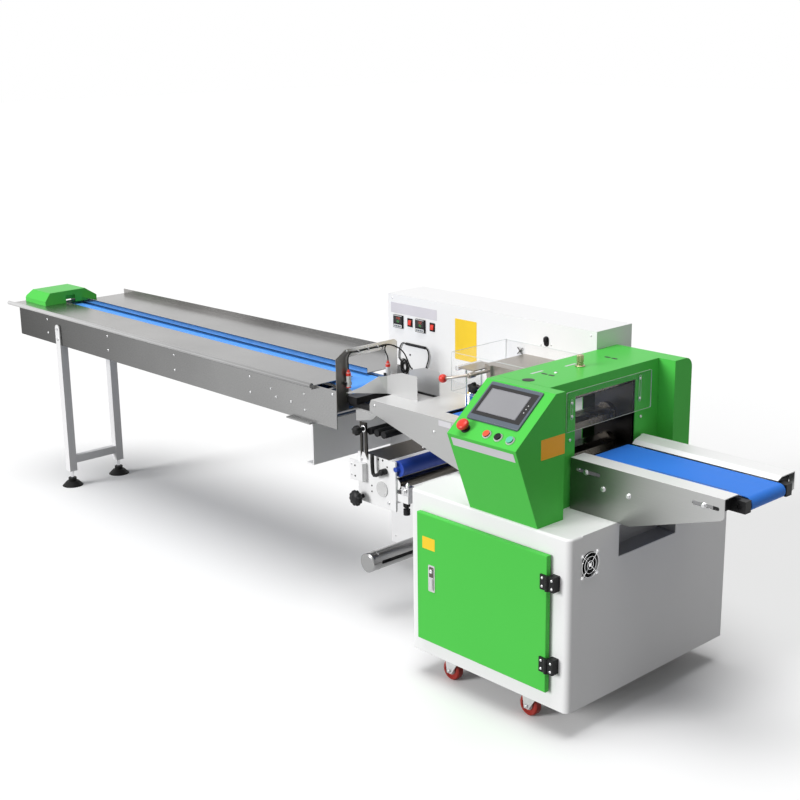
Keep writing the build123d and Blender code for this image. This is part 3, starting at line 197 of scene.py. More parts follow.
def bare_metal(name, color, rough=0.25, spots=220.0, relief=0.1):
    """Cast, turned or plated metal with fine mottling."""
    g = Graph(name)
    mottle = g.noise(spots, 4)
    g.color(g.mix(mottle, scaled(color, 0.84), scaled(color, 1.12)))
    g.rough(g.span(g.noise(12, 3), rough - 0.06, rough + 0.1))
    g.bump(mottle, relief, 0.0002, 0.5)
    g.set(Metallic=1.0)
    return g.mat


def plastic(name, color, rough=0.4, grain=700.0, relief=0.12, shine=0.4, spread=0.08):
    """Moulded plastic or rubber: spark-eroded grain and slight fading."""
    g = Graph(name)
    g.color(g.mix(g.noise(9, 3), scaled(color, 1 - spread), scaled(color, 1 + spread)))
    g.rough(g.span(g.noise(40, 3), rough - 0.07, rough + 0.08))
    g.bump(g.noise(grain, 2), relief, 0.0003, 0.7)
    g.set(Specular_IOR_Level=shine)
    return g.mat


def belt(name, color):
    """PVC conveyor belt: fine woven impression, scuffed paler lines along the running direction."""
    g = Graph(name)
    scuff = g.noise(9, 4, (0.4, 30, 1))
    broad = g.noise(2, 2, (0.6, 6, 1))
    weave = g.node("Math", operation="MULTIPLY")
    for k, direction in enumerate("XY"):
        wave = g.node("TexWave", Scale=330.0, Distortion=0.4, bands_direction=direction)
        g.link(g.coords, wave.inputs["Vector"])
        g.link(wave.outputs["Fac"], weave.inputs[k])
    tone = g.mix(broad, scaled(color, 0.9), scaled(color, 1.08))
    g.color(g.mix(g.span(scuff, 0.0, 0.2, 0.4, 0.9), tone, scaled(color, 1.35)))
    g.rough(g.span(scuff, 0.46, 0.62))
    g.bump(weave.outputs["Value"], 0.2, 0.0003)
    g.set(Specular_IOR_Level=0.2)
    return g.mat


def clear(name, alpha):
    """Acrylic sheet: see-through, with faint wipe marks."""
    g = Graph(name)
    wipe = g.noise(14, 4, (1, 4, 4))
    g.color(g.mix(wipe, (0.93, 0.95, 0.95), (0.97, 0.98, 0.98)))
    g.rough(g.span(wipe, 0.03, 0.1))
    g.link(g.span(wipe, alpha * 0.8, alpha * 1.2), g.shader.inputs["Alpha"])
    g.set(Specular_IOR_Level=0.7)
    return g.mat


WHITE = paint("white_powder_coat", (0.83, 0.83, 0.835), 0.4)
# White powder coat darkened to a mid grey: painted shade, used for the side recess.
POCKET_SHADE_GREY = paint("powder_coat_painted_shade", (0.34, 0.34, 0.345), 0.45)
GREEN = paint("green_paint", (0.085, 0.55, 0.08), 0.3, 0.03, 0.03, 0.06)
GREEN_KEY = plastic("green_key", (0.1, 0.5, 0.33), 0.3)
STEEL = steel("brushed_stainless", (0.62, 0.62, 0.63), 0.34)
# Infeed side sheet: near black upstream, paler downstream: painted reflection.
STEEL_SIDE = steel("infeed_side_sheet", (0.06, 0.06, 0.058), 0.26, "X", 0.2, 0.2, 1.0,
                   ("X", -3800, -1317, (0.38, 0.38, 0.38)))
# Tray sheet: strong patches of tone and a darkening downstream: painted reflection.
STEEL_TRAY = steel("tray_sheet", (0.42, 0.41, 0.4), 0.22, "X", 0.2, 0.36, 1.0, ("X", -3860, -1440, (0.3, 0.3, 0.3)))
# Discharge sheet: dark and greenish near the cabinet, paler downstream: painted reflection.
STEEL_OUT = steel("discharge_sheet", (0.17, 0.19, 0.16), 0.3, "X", 0.18, 0.16, 0.85,
                  ("X", -193, 391, (0.5, 0.5, 0.5)))
# Former table: one steel, a darker copy for the sides and a paler copy for the tops: painted shade and painted light.
TABLE_SIDE_IN_SHADE = steel("table_side_painted_shade", (0.46, 0.46, 0.46), 0.36, "X", 0.2, 0.1, 0.7)
TABLE_TOP_IN_LIGHT = steel("table_top_painted_light", (0.68, 0.68, 0.68), 0.4, "X", 0.15, 0.08, 0.5)
# Paler copy of the steel for faces that look up: painted light.
FLANGE_TOP_LIGHT = steel("flange_top_painted_light", (0.86, 0.86, 0.86), 0.42, "X", 0.1, 0.06, 0.3)
# Tray hem: pale upstream, greyer downstream: painted highlight.
STEEL_HEM = steel("hem_sheet", (0.62, 0.62, 0.62), 0.3, "X", 0.1, 0.2, 0.9, ("X", -3860, -1440, (0.3, 0.3, 0.3)))
STEEL_FORMER = steel("former_sheet", (0.6, 0.6, 0.6), 0.36, "Z", 0.15, 0.12, 0.45)
STEEL_PLATES = steel("fin_unit_plate", (0.36, 0.32, 0.28), 0.3, "X", 0.2, 0.25, 0.9)
# Arch sheet: dark on the near post, pale further from the operator: painted reflection.
STEEL_POST = steel("arch_sheet", (0.2, 0.19, 0.18), 0.3, "Z", 0.2, 0.15, 0.9, ("Y", 235, 300, (0.66, 0.66, 0.66)))
# Dark steel, and the jaw steel below it, kept very dark also as painted shade inside the seal housing.
DARK_STEEL = bare_metal("dark_steel_and_shade", (0.05, 0.047, 0.044), 0.34)
JAW_STEEL = bare_metal("jaw_steel", (0.13, 0.118, 0.102), 0.24)
ZINC = bare_metal("zinc_plate", (0.62, 0.62, 0.63), 0.34, 90)
CHROME = bare_metal("chrome", (0.78, 0.78, 0.79), 0.12, 30, 0.03)
BRASS = bare_metal("brass", (0.4, 0.36, 0.22), 0.26, 120)
TURNED = bare_metal("turned_steel", (0.36, 0.36, 0.36), 0.22)
BLACK = plastic("black_plastic", (0.014, 0.014, 0.015), 0.4, shine=0.16)
# Near black for the cover's inside and the backs of its top holes: painted shade.
INSIDE_SHADE = plastic("cover_inside_painted_shade", (0.012, 0.014, 0.012), 0.5)
RUBBER = plastic("black_rubber", (0.012, 0.012, 0.012), 0.6, 420, 0.25, 0.14)
SLATE = plastic("slate_bezel", (0.085, 0.105, 0.135), 0.4)
# Pale line round the screen, also used along the bezel's edge as painted highlight.
LINE_AND_EDGE_HIGHLIGHT = plastic("frame_line_and_edge_highlight", (0.42, 0.42, 0.48), 0.35)
SCREEN = plastic("screen_film", (0.27, 0.27, 0.285), 0.3, 1200, 0.03, 0.25)
LIGHT_GREY = plastic("pale_plastic", (0.62, 0.62, 0.62), 0.42)
WHITE_PLASTIC = plastic("white_plastic", (0.78, 0.78, 0.78), 0.4)
RED = plastic("red_plastic", (0.68, 0.035, 0.02), 0.3, 500, 0.05)
RED_KEY = plastic("red_key", (0.72, 0.09, 0.035), 0.32, 500, 0.05)
RED_WHEEL = plastic("red_wheel", (0.3, 0.02, 0.012), 0.42, 300, 0.15)
BELT = belt("blue_belt", (0.032, 0.2, 0.74))
# Infeed belt: a paler copy of the blue belt, painted light.
INFEED_BELT_LIGHT = belt("infeed_belt_painted_light", (0.09, 0.34, 0.92))
BLUE_RUBBER = plastic("blue_rubber", (0.02, 0.065, 0.4), 0.42, 500, 0.2)
CLEAR = clear("clear_acrylic", 0.03)
# Pale opaque plastic on edges of the clear sheets: painted highlight.
EDGE_HIGHLIGHT = plastic("clear_edge_painted_highlight", (0.66, 0.7, 0.69), 0.25, 300, 0.03)
YELLOW = plastic("yellow_film", (0.86, 0.58, 0.02), 0.5, 300, 0.03)
ORANGE = plastic("orange_film", (1.0, 0.44, 0.01), 0.5, 300, 0.03)
LABEL = plastic("pale_film", (0.62, 0.6, 0.64), 0.5, 300, 0.03)
GLASS_DARK = plastic("display_window", (0.012, 0.011, 0.012), 0.14, 900, 0.02, 0.5)
DIGIT_RED = plastic("digit_red", (0.85, 0.09, 0.04), 0.3, 900, 0.02)
DIGIT_GREEN = plastic("digit_green", (0.1, 0.7, 0.12), 0.3, 900, 0.02)

SLOTS = {
    "white_paint": WHITE, "green_paint": GREEN, "stainless": STEEL, "dark_steel": DARK_STEEL,
    "zinc": ZINC, "chrome": CHROME, "black_plastic": BLACK, "black_rubber": RUBBER,
    "grey_plastic": SLATE, "white_plastic": WHITE_PLASTIC, "red_plastic": RED,
    "green_plastic": GREEN_KEY, "blue_belt": BELT, "blue_rubber": BLUE_RUBBER,
    "red_wheel": RED_WHEEL, "clear_plastic": CLEAR, "brass": BRASS,
}


def coat(name, *zones):
    """Gives a CAD node its materials: the first one everywhere, the others where their test holds."""
    mesh = frame["nodes"][name].data
    mesh.materials.clear()
    for mat, _ in zones:
        mesh.materials.append(mat)
    for face in mesh.polygons:
        face.material_index = 0
        middle = (face.center - CORNER) * 1000
        for k, (_, holds) in enumerate(zones):
            if holds is not None and holds(middle, face.normal):
                face.material_index = k


for part in frame["record"]["subparts"]:
    coat(part["node"], (SLOTS[part["material_slot"]], None))


# Mesh making.


class Sheaf:
    """Several small forms that become one object."""

    def __init__(self):
        self.bm = bmesh.new()

    def lathe(self, at, axis, profile, sides=24, flats=False):
        """Turned form: profile holds (radius, height along the axis) pairs, in mm, from its foot up."""
        axis = axis.normalized()
        u = axis.orthogonal().normalized()
        v = axis.cross(u)
        rings = []
        for r, h in profile:
            base = at + axis * h / 1000
            if r <= 0:
                rings.append([self.bm.verts.new(base)])
                continue
            ring = []
            for k in range(sides):
                a = 2 * pi * k / sides
                ring.append(self.bm.verts.new(base + (u * cos(a) + v * sin(a)) * r / 1000))
            rings.append(ring)
        for lower, upper in zip(rings, rings[1:]):
            for k in range(sides):
                j = (k + 1) % sides
                quad = [lower[k % len(lower)], lower[j % len(lower)], upper[j % len(upper)], upper[k % len(upper)]]
                corners = list(dict.fromkeys(quad))
                if len(corners) > 2:
                    self.bm.faces.new(corners).smooth = not flats
        return self

    def prism(self, at, u, v, outline, depth, rim=0.0):
        """Flat form with this outline, in mm along u and v, raised by depth, with a chamfered rim."""
        n = u.cross(v).normalized()
        middle = Vector((sum(a for a, _ in outline), sum(b for _, b in outline))) / len(outline)
        rings = []
        for height, inset in ((0, 0), (depth - rim, 0), (depth, rim)) if rim else ((0, 0), (depth, 0)):
            ring = []
            for a, b in outline:
                p = Vector((a, b))
                q = p + (middle - p).normalized() * inset
                ring.append(self.bm.verts.new(at + (u * q.x + v * q.y + n * height) / 1000))
            rings.append(ring)
        for lower, upper in zip(rings, rings[1:]):
            for k in range(len(outline)):
                j = (k + 1) % len(outline)
                self.bm.faces.new((lower[k], lower[j], upper[j], upper[k]))
        self.bm.faces.new(rings[-1])
        self.bm.faces.new(rings[0][::-1])
        return self

    def plate(self, at, u, v, w, h, depth, corner=1.0, rim=0.3):
        """Rounded rectangle centred on at."""
        outline = []
        for sx, sy, start in ((1, 1, 0), (-1, 1, 90), (-1, -1, 180), (1, -1, 270)):
            for k in range(5):
                a = radians(start + 22.5 * k)
                outline.append((sx * (w / 2 - corner) + corner * cos(a), sy * (h / 2 - corner) + corner * sin(a)))
        return self.prism(at, u, v, outline, depth, rim)

    def tube(self, points, r, sides=10, closed=False):
        """Round bar of radius r mm along points; r may be one radius for each point."""
        count = len(points)
        radii = r if isinstance(r, list) else [r] * count
        rings = []
        side = None
        for k, p in enumerate(points):
            before = points[k - 1] if k or closed else None
            after = points[(k + 1) % count] if k < count - 1 or closed else None
            way = ((p - before).normalized() if before is not None else Vector()) + (
                (after - p).normalized() if after is not None else Vector()
            )
            way.normalize()
            side = way.orthogonal().normalized() if side is None else (side - way * side.dot(way)).normalized()
            other = way.cross(side)
            ring = []
            for j in range(sides):
                a = 2 * pi * j / sides
                ring.append(self.bm.verts.new(p + (side * cos(a) + other * sin(a)) * radii[k] / 1000))
            rings.append(ring)
        pairs = list(zip(rings, rings[1:])) + ([(rings[-1], rings[0])] if closed else [])
        for lower, upper in pairs:
            for j in range(sides):
                i = (j + 1) % sides
                self.bm.faces.new((lower[j], lower[i], upper[i], upper[j])).smooth = True
        if not closed:
            self.bm.faces.new(rings[0][::-1])
            self.bm.faces.new(rings[-1])
        return self

    def cap_screw(self, at, n, r=5.0, h=4.0):
        """Socket head: a cylinder with a hexagon recess."""
        self.lathe(at, n, [(r, 0), (r, h - 0.6), (r - 0.6, h), (r * 0.56, h)], 20)
        self.lathe(at, n, [(r * 0.56, h), (r * 0.52, h - 0.4), (r * 0.5, h * 0.4), (0, h * 0.4)], 6, True)

    def button_screw(self, at, n, r=5.0, h=2.6):
        """Domed head with a hexagon recess."""
        self.lathe(at, n, [(r, 0), (r * 0.97, h * 0.35), (r * 0.82, h * 0.75), (r * 0.5, h)], 20)
        self.lathe(at, n, [(r * 0.5, h), (r * 0.46, h * 0.35), (0, h * 0.35)], 6, True)

    def hex_bolt(self, at, n, r=6.0, h=4.5):
        """Hexagon head on a washer."""
        self.lathe(at, n, [(r * 1.25, 0), (r * 1.25, 1.0), (r * 0.8, 1.0)], 24)
        self.lathe(at, n, [(r, 1.0), (r, h), (r * 0.82, h + 0.7), (0, h + 0.7)], 6, True)

    def pan_screw(self, at, n, r=3.5, h=1.8):
        """Low head with a crossed recess."""
        self.lathe(at, n, [(r, 0), (r * 0.9, h * 0.6), (r * 0.6, h), (0, h)], 16)
        u = n.orthogonal().normalized()
        v = n.cross(u)
        bar = [(-r * 0.6, -r * 0.1), (r * 0.6, -r * 0.1), (r * 0.6, r * 0.1), (-r * 0.6, r * 0.1)]
        for a, b in ((u, v), (v, -u)):
            self.prism(at + n * (h - 0.15) / 1000, a, b, bar, 0.25)

    def make(self, name, mat, body="frame", slot="zinc", bevel=0.0):
        mesh = bpy.data.meshes.new(name)
        bmesh.ops.recalc_face_normals(self.bm, faces=self.bm.faces)
        self.bm.to_mesh(mesh)
        self.bm.free()
        mesh.materials.append(mat)
        obj = bpy.data.objects.new(name, mesh)
        bpy.context.collection.objects.link(obj)
        if bevel:
            rounding = obj.modifiers.new("rounding", "BEVEL")
            rounding.width = bevel / 1000
            rounding.segments = 2
            rounding.limit_method = "ANGLE"
        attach(obj, body)
        return obj


# Camera at the photograph's place.
camera = bpy.data.objects.new("camera", bpy.data.cameras.new("camera"))
camera.data.sensor_width = 36
camera.data.lens = 61.155
camera.data.clip_end = 60
turn = Matrix.Rotation(radians(47.19), 4, "Z") @ Matrix.Rotation(radians(90 - 15.16), 4, "X")
roll = Matrix.Rotation(radians(-0.77), 4, "Z")
camera.matrix_world = Matrix.Translation(place(2502.7, -3018.9, 2094.5)) @ turn @ roll
bpy.context.collection.objects.link(camera)
bpy.context.scene.camera = camera


# Floor, lamps and world. The camera and reflections see a white room; the light itself stays plain.


def seen_fac(tree):
    """1 for camera, glossy and transmission rays, 0 for the light that surfaces get."""
    paths = tree.nodes.new("ShaderNodeLightPath")
    last = paths.outputs["Is Camera Ray"]
    for key in ("Is Glossy Ray", "Is Transmission Ray"):
        either = tree.nodes.new("ShaderNodeMath")
        either.operation = "MAXIMUM"
        tree.links.new(last, either.inputs[0])
        tree.links.new(paths.outputs[key], either.inputs[1])
        last = either.outputs[0]
    return last


floor_mesh = bpy.data.meshes.new("floor")
floor_mesh.from_pydata([(-40, -40, 0), (40, -40, 0), (40, 40, 0), (-40, 40, 0)], [], [(0, 1, 2, 3)])
floor = bpy.data.objects.new("floor", floor_mesh)
floor.location.z = -0.0005
bpy.context.collection.objects.link(floor)
g = Graph("pale_floor")
g.color(g.mix(seen_fac(g.tree), (0.3, 0.3, 0.3), (0.93, 0.93, 0.93)))
g.set(Roughness=0.9, Specular_IOR_Level=0.0)
floor_mesh.materials.append(g.mat)


def sun(name, strength, toward, angle):
    lamp = bpy.data.lights.new(name, "SUN")
    lamp.energy = strength
    lamp.angle = radians(angle)
    obj = bpy.data.objects.new(name, lamp)
    obj.rotation_mode = "QUATERNION"
    obj.rotation_quaternion = Vector(toward).normalized().to_track_quat("Z", "Y")
    bpy.context.collection.objects.link(obj)


sun("key", 2.45, (-0.32, -1.0, 0.36), 24)
sun("top", 1.9, (-0.05, -0.12, 1.0), 40)

world = bpy.data.worlds.new("studio")
world.use_nodes = True
bpy.context.scene.world = world
strength = world.node_tree.nodes.new("ShaderNodeMapRange")
strength.inputs["To Min"].default_value = 0.26
world.node_tree.links.new(seen_fac(world.node_tree), strength.inputs["Value"])
background = world.node_tree.nodes["Background"]
background.inputs["Color"].default_value = (1, 1, 1, 1)
world.node_tree.links.new(strength.outputs["Result"], background.inputs["Strength"])
bpy.context.scene.view_settings.view_transform = "Standard"

# CAD nodes in more than one material.
coat("infeed_frame", (STEEL_SIDE, None))
coat("infeed_belt", (INFEED_BELT_LIGHT, None))
# The near hem takes the pale steel of the painted highlight; the far guide wall is chrome.
coat("infeed_trays", (STEEL_TRAY, None), (STEEL_HEM, lambda p, n: p.y < 182 and p.z > 780),
     (CHROME, lambda p, n: 455.5 < p.y < 460.5 and p.z > 785.5))
# Faces of the discharge frame that look up take the paler copy: painted light on the tops.
coat("discharge_frame", (STEEL_OUT, None), (FLANGE_TOP_LIGHT, lambda p, n: p.z > 748 and n.z > 0.3))
# Upward faces take the paler copy, the rest the darker one: painted light and painted shade.
coat("former_table", (TABLE_SIDE_IN_SHADE, None), (TABLE_TOP_IN_LIGHT, lambda p, n: n.z > 0.5))
coat("bag_former", (STEEL_FORMER, None))
# Jaws and seal frames inside the housing: dark steel made darker still, partly painted shade.
coat("lower_jaw", (JAW_STEEL, None))
coat("upper_jaw", (JAW_STEEL, None))
coat("seal_frames", (DARK_STEEL, None), (JAW_STEEL, lambda p, n: 252 < p.y < 598))
# Inside faces of the cover are near black: painted shade.
coat("end_seal_cover", (GREEN, None), (
    INSIDE_SHADE, lambda p, n: -428.5 < p.x < -205.5 and 132.5 < p.y < 691.5 and p.z < 1007.5))
coat("belt_rollers", (BLACK, None), (ZINC, lambda p, n: -1150 < p.x < 345 or p.x < -1320))
coat("film_plate", (WHITE, None), (ZINC, lambda p, n: p.y > 209 and p.z < 565),
     (JAW_STEEL, lambda p, n: p.y > 240 and -1030 < p.x < -983 and 456 < p.z < 504),
     (STEEL_PLATES, lambda p, n: p.z > 565.5 and p.y > 208),
     (DARK_STEEL, lambda p, n: p.y < 200.5 and p.z > 570),
     (LIGHT_GREY, lambda p, n: p.y < 199 and abs(p.x + 1075) < 31 and abs(p.z - 447) < 31),
     (BLACK, lambda p, n: p.y > 209 and -995 < p.x < -945 and p.z < 414))
coat("guide_rollers", (BLACK, None))
coat("panel_fittings", (BLACK, None), (ZINC, lambda p, n: p.y < 300))
coat("sensor_arch", (STEEL_POST, None))
coat("arch_sensors", (RUBBER, None),
     (LIGHT_GREY, lambda p, n: p.z < 850.5 and (abs(p.y - 240) < 9.5 or abs(p.y - 443) < 9.5) and p.x > -1311),
     (ZINC, lambda p, n: 799 < p.z < 813 and (abs(p.x + 1317) < 5 or abs(p.x + 1297) < 0.6)))
# The supports' upper part takes the infeed side sheet with its painted reflection.
coat("infeed_supports", (WHITE, None), (STEEL_SIDE, lambda p, n: p.z > 624 and p.x > -1700))
coat("levelling_feet", (RUBBER, None), (CHROME, lambda p, n: p.z > -57))
coat("fin_seal_frame", (STEEL_PLATES, None), (CHROME, lambda p, n: p.x < -828))
coat("fin_seal_cover", (CLEAR, None))
# The shield's edge faces in pale plastic: painted highlight.
coat("clear_shield", (CLEAR, None), (EDGE_HIGHLIGHT, lambda p, n: abs(n.x) < 0.7))
coat("mounting_panel", (ZINC, None), (LIGHT_GREY, lambda p, n: p.y < 399))
coat("fan_rotor", (BLACK, None))
coat("roll_mandrel", (TURNED, None), (BLACK, lambda p, n: p.x > -1144 and abs(p.z - 123) < 7.5 and 240 < p.y < 570))

# Screws and bolts of the fixed frame.
bolts = Sheaf()
for x in (-3520, -2960, -2410, -1862):
    for z in (745, 678):
        bolts.button_screw(place(x, 190, z), -Y, 6, 3.4)
for x, z in ((-1725, 718), (-1691, 689), (-1513, 735), (-1595, 689), (-1510, 671), (-1340, 765)):
    bolts.button_screw(place(x, 190, z), -Y, 6, 3.4)
for x, z in ((-58, 686), (43, 687), (-129, 726), (320, 727)):
    bolts.hex_bolt(place(x, 226, z), -Y, 7.5, 6)
for x, z in ((-1140, 752), (-690, 612), (-825, 716), (-470, 612)):
    bolts.button_screw(place(x, 226, z), -Y, 6, 3)
for y, out in ((184, -Y), (493, Y)):
    for z in (712, 660):
        bolts.hex_bolt(place(-3420, y, z), out, 7, 5)
for x in (-3520, -2960, -2410, -1862, -1500):
    for z in (745, 678):
        bolts.button_screw(place(x, 487, z), Y, 6.5, 3)
for x, z in ((-58, 686), (43, 687), (-129, 726), (320, 727)):
    bolts.hex_bolt(place(x, 607, z), Y, 7.5, 6)
for x, z in ((-1190, 540), (-1040, 400)):
    bolts.hex_bolt(place(x, 200, z), -Y, 6, 4.5)
for k in range(4):
    a = pi / 4 + k * pi / 2
    bolts.cap_screw(place(-1075 + 22 * cos(a), 196, 447 + 22 * sin(a)), -Y, 2.6, 1.6)
for x, z in ((-1238, 470), (-1238, 512)):
    bolts.cap_screw(place(x, 194, z), -Y, 4.5, 3.5)
bolts.cap_screw(place(-1060, 400, 568), Z, 6, 6)
for x, z in ((-692, 987), (-644, 993), (-1490, 1056), (-460, 1056), (-1490, 30), (-735, 30)):
    bolts.pan_screw(place(x, 645, z), -Y, 4, 2)
bolts.make("frame_bolts", ZINC)

cover = Sheaf()
for y, z0, z1 in ((233, 896, 941), (588, 889, 958)):
    for z in (z0, z1):
        cover.cap_screw(place(-199, y, z), X, 4.5, 3.4)
for y, z in ((601, 822), (230, 817)):
    cover.cap_screw(place(-203, y, z), X, 5, 3.6)
cover.button_screw(place(-318, 291, 1010), Z, 6, 3)
cover.make("cover_screws", ZINC)
# Pale rims round the shield's slots: painted highlight.
slots = Sheaf()
for y, z0, z1 in ((233, 890, 947), (588, 883, 964)):
    outline = [place(-198.7, y + 5 * cos(radians(a)), z1 + 5 * sin(radians(a))) for a in range(0, 181, 20)]
    outline += [place(-198.7, y + 5 * cos(radians(a)), z0 + 5 * sin(radians(a))) for a in range(180, 361, 20)]
    slots.tube(outline, 0.7, 6, True)
slots.make("shield_slots", EDGE_HIGHLIGHT, slot="clear_plastic")

# Holes in the cover's top: near black pieces in them as painted shade, with bare pale films beside them.
dark = Sheaf()
dark.lathe(place(-318, 157, 1004), Z, [(0, 0), (13.6, 0), (13.6, 6.2), (21, 6), (21, 6.5), (13, 6.9), (0, 6.6)], 36)
for y in (254, 580):
    for x in (-334, -304):
        dark.plate(place(x, y, 1010), X, Y, 25, 12, 0.5, 5.8, 0.2)
dark.make("cover_hole_painted_shade", INSIDE_SHADE, slot="black_plastic")
pale = Sheaf()
for x, y, length in ((-366, 253, 58), (-352, 406, 54)):
    pale.plate(place(x, y, 1010), Y, -X, length, 9, 0.4, 1, 0.1)
pale.make("cover_films", LABEL, slot="white_plastic")

# Castors: plate bolts, stem cap, axle nuts and wheel hub.
for end, cy in (("front", 62), ("back", 780)):
    for side, cx in (("left", -540), ("right", -180)):
        name = end + "_" + side
        nuts = Sheaf()
        for s in (-1, 1):
            nuts.hex_bolt(place(cx - 26, cy + s * 26, -59.5), Y * s, 5, 3)
        nuts.lathe(place(cx, cy, -12), -Z, [(27, 0), (27, 1), (22, 3), (0, 3)], 28)
        nuts.make("castor_nuts_" + name, ZINC, "fork_" + name)
        plates = Sheaf()
        for dx in (-36, 36):
            for dy in (-27, 27):
                plates.hex_bolt(place(cx + dx, cy + dy, -5), -Z, 5, 3)
        plates.make("castor_plate_bolts_" + name, ZINC)
        hub = Sheaf()
        for s in (-1, 1):
            hub.lathe(place(cx - 26, cy + s * 11, -59.5), Y * s, [(17, 0), (17, 2), (12, 3.4), (6, 3.4)], 24)
        hub.make("castor_hub_" + name, WHITE_PLASTIC, "wheel_" + name, "white_plastic")

# Door: hinge screws, latch lever and cylinder.
for name, x, body in (("door", -86, "door"), ("cabinet", -47, "frame")):
    screws = Sheaf()
    for z in (157, 437):
        for dz in (-14, 14):
            screws.pan_screw(place(x, -30, z + dz), -Y, 4.6, 2)
    screws.make("hinge_screws_" + name, ZINC, body)
latch = Sheaf()
latch.plate(place(-583.5, -28, 281), X, Z, 14, 42, 3, 3, 0.8)
latch.lathe(place(-583.5, -28, 326), -Y, [(7.5, 0), (7.5, 2), (6.5, 3), (3.4, 3), (3.4, 1), (0, 1)], 24)
latch.make("latch_lever", ZINC, "door", "zinc", 0.4)
recess = Sheaf()
recess.plate(place(-583.5, -26.2, 299), X, Z, 21, 84, 0.5, 3, 0.2)
recess.make("latch_recess", JAW_STEEL, "door", "dark_steel")
coat("door_latch", (ZINC, None))

# Cooling fan: moulded frame and a wire guard of rings on a cross of spokes.
fan = Sheaf()
fan.lathe(place(-28, 95, 484), X, [(43, 0), (46, 0), (46, 25), (43, 25), (43, 0)], 48)
for sy in (-1, 1):
    for sz in (-1, 1):
        fan.plate(place(-28, 95 + sy * 38, 484 + sz * 38), Y, Z, 16, 16, 25, 4)
    fan.plate(place(-28, 95, 484 + sy * 30), Y, Z, 5, 30, 4, 1)
    fan.plate(place(-28, 95 + sy * 30, 484), Y, Z, 30, 5, 4, 1)
fan.lathe(place(-28, 95, 484), X, [(0, 0), (17, 0), (17, 5), (0, 5)], 32)
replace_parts(fan.make("fan_housing", BLACK, slot="black_plastic"), "fan_guard")
guard = Sheaf()
for r in (14, 28, 41):
    ring = [place(4.0, 95 + r * cos(2 * pi * k / 40), 484 + r * sin(2 * pi * k / 40)) for k in range(40)]
    guard.tube(ring, 1.0, 8, True)
for a in (45, 135, 225, 315):
    c, s = cos(radians(a)), sin(radians(a))
    spoke = [(2.8, 6), (2.8, 42), (1.6, 50)]
    guard.tube([place(x, 95 + r * c, 484 + r * s) for x, r in spoke], 1.3, 8)
    guard.lathe(place(0.2, 95 + 51 * c, 484 + 51 * s), X, [(6, 0), (6, 2), (3, 2)], 20)
    guard.pan_screw(place(2.0, 95 + 51 * c, 484 + 51 * s), X, 3.6, 2)
guard.lathe(place(2.4, 95, 484), X, [(7, 0), (7, 1.4), (5, 2.2), (0, 2.2)], 24)
guard.make("fan_wire_guard", CHROME, slot="chrome")

# Side recess: a bent sheet pocket behind the opening under the discharge conveyor, in white paint darkened to a mid
# grey as painted shade.
pocket = Sheaf()
for at, u, v, w, h in (
    (place(-75, 392, 523), Y, Z, 304, 106),
    (place(-38.5, 392, 468.5), X, Y, 73, 304),
    (place(-38.5, 240, 523), X, -Z, 73, 106),
    (place(-38.5, 545.5, 523), X, -Z, 73, 106),
):
    pocket.plate(at, u, v, w, h, 1.5, 0.5, 0.2)
pocket.make("side_recess_pocket", POCKET_SHADE_GREY, slot="white_paint")

# Operator screen: moulded bezel, dark glass, a pale frame line round the screen, a pale line along the bezel's edge as
# painted highlight, and three lamps.
bezel = Sheaf()
bezel.plate(on_slope(-288, 148), X, SLOPE_UP, 220, 156, 6, 7, 2)
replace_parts(bezel.make("screen_bezel", SLATE, slot="grey_plastic"), "operator_screen")
glass = Sheaf()
glass.plate(on_slope(-288, 151, 5.6), X, SLOPE_UP, 204, 122, 0.9, 2, 0.3)
glass.make("screen_border", GLASS_DARK, slot="black_plastic")
lit = Sheaf()
lit.plate(on_slope(-294, 151, 6.2), X, SLOPE_UP, 160, 92, 0.7, 1, 0.2)
lit.make("screen_glass", SCREEN, slot="grey_plastic")
line = Sheaf()
corners = [(-375.5, 104), (-212.5, 104), (-212.5, 198), (-375.5, 198)]
line.tube([on_slope(x, s, 6.5) for x, s in corners], 0.7, 6, True)
# Pale line along the bezel's edge: painted highlight.
corners = [(-395, 73), (-181, 73), (-181, 223), (-395, 223)]
line.tube([on_slope(x, s, 5.2) for x, s in corners], 0.9, 6, True)
line.make("screen_lines", LINE_AND_EDGE_HIGHLIGHT, slot="grey_plastic")
lamps = Sheaf()
for s in (137, 151, 165):
    lamps.lathe(on_slope(-199, s, 6.3), SLOPE_OUT, [(2.3, 0), (2.3, 0.5), (1.4, 0.9), (0, 1.0)], 14)
lamps.make("screen_lamps", LIGHT_GREY, slot="white_plastic")

# Push buttons and the emergency stop.
for body, node, x, mat, slot in (
    ("key_red", "red_button", -280, RED_KEY, "red_plastic"),
    ("key_black", "black_button", -232, BLACK, "black_plastic"),
    ("key_green", "green_button", -182, GREEN_KEY, "green_plastic"),
):
    cap = Sheaf()
    profile = [(0, 0), (9.4, 0), (9.4, 14.1), (12.2, 14.4), (12.4, 15.4), (11.4, 16.2), (10.4, 16), (0, 15.8)]
    cap.lathe(on_slope(x, 32, -7), SLOPE_OUT, profile, 36)
    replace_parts(cap.make(node + "_cap", mat, body, slot), node)
rings = Sheaf()
for x in (-280, -232, -182):
    rings.lathe(on_slope(x, 32), SLOPE_OUT, [(15.6, 0), (15.6, 2.4), (14.6, 4.6), (13.4, 4.8), (13, 4.2), (13, 0)], 40)
rings.make("button_rings", LIGHT_GREY, slot="chrome")
stop = Sheaf()
profile = [(0, -7), (9.4, -7), (9.4, 12), (14, 13), (18.4, 16), (20.5, 19), (20.8, 24), (19.8, 28), (17.6, 30.4), (8, 31.6), (0, 31.8)]
stop.lathe(on_slope(-372, 32), SLOPE_OUT, profile, 44)
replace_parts(stop.make("stop_mushroom", RED, "stop", "red_plastic"), "emergency_stop")
collar = Sheaf()
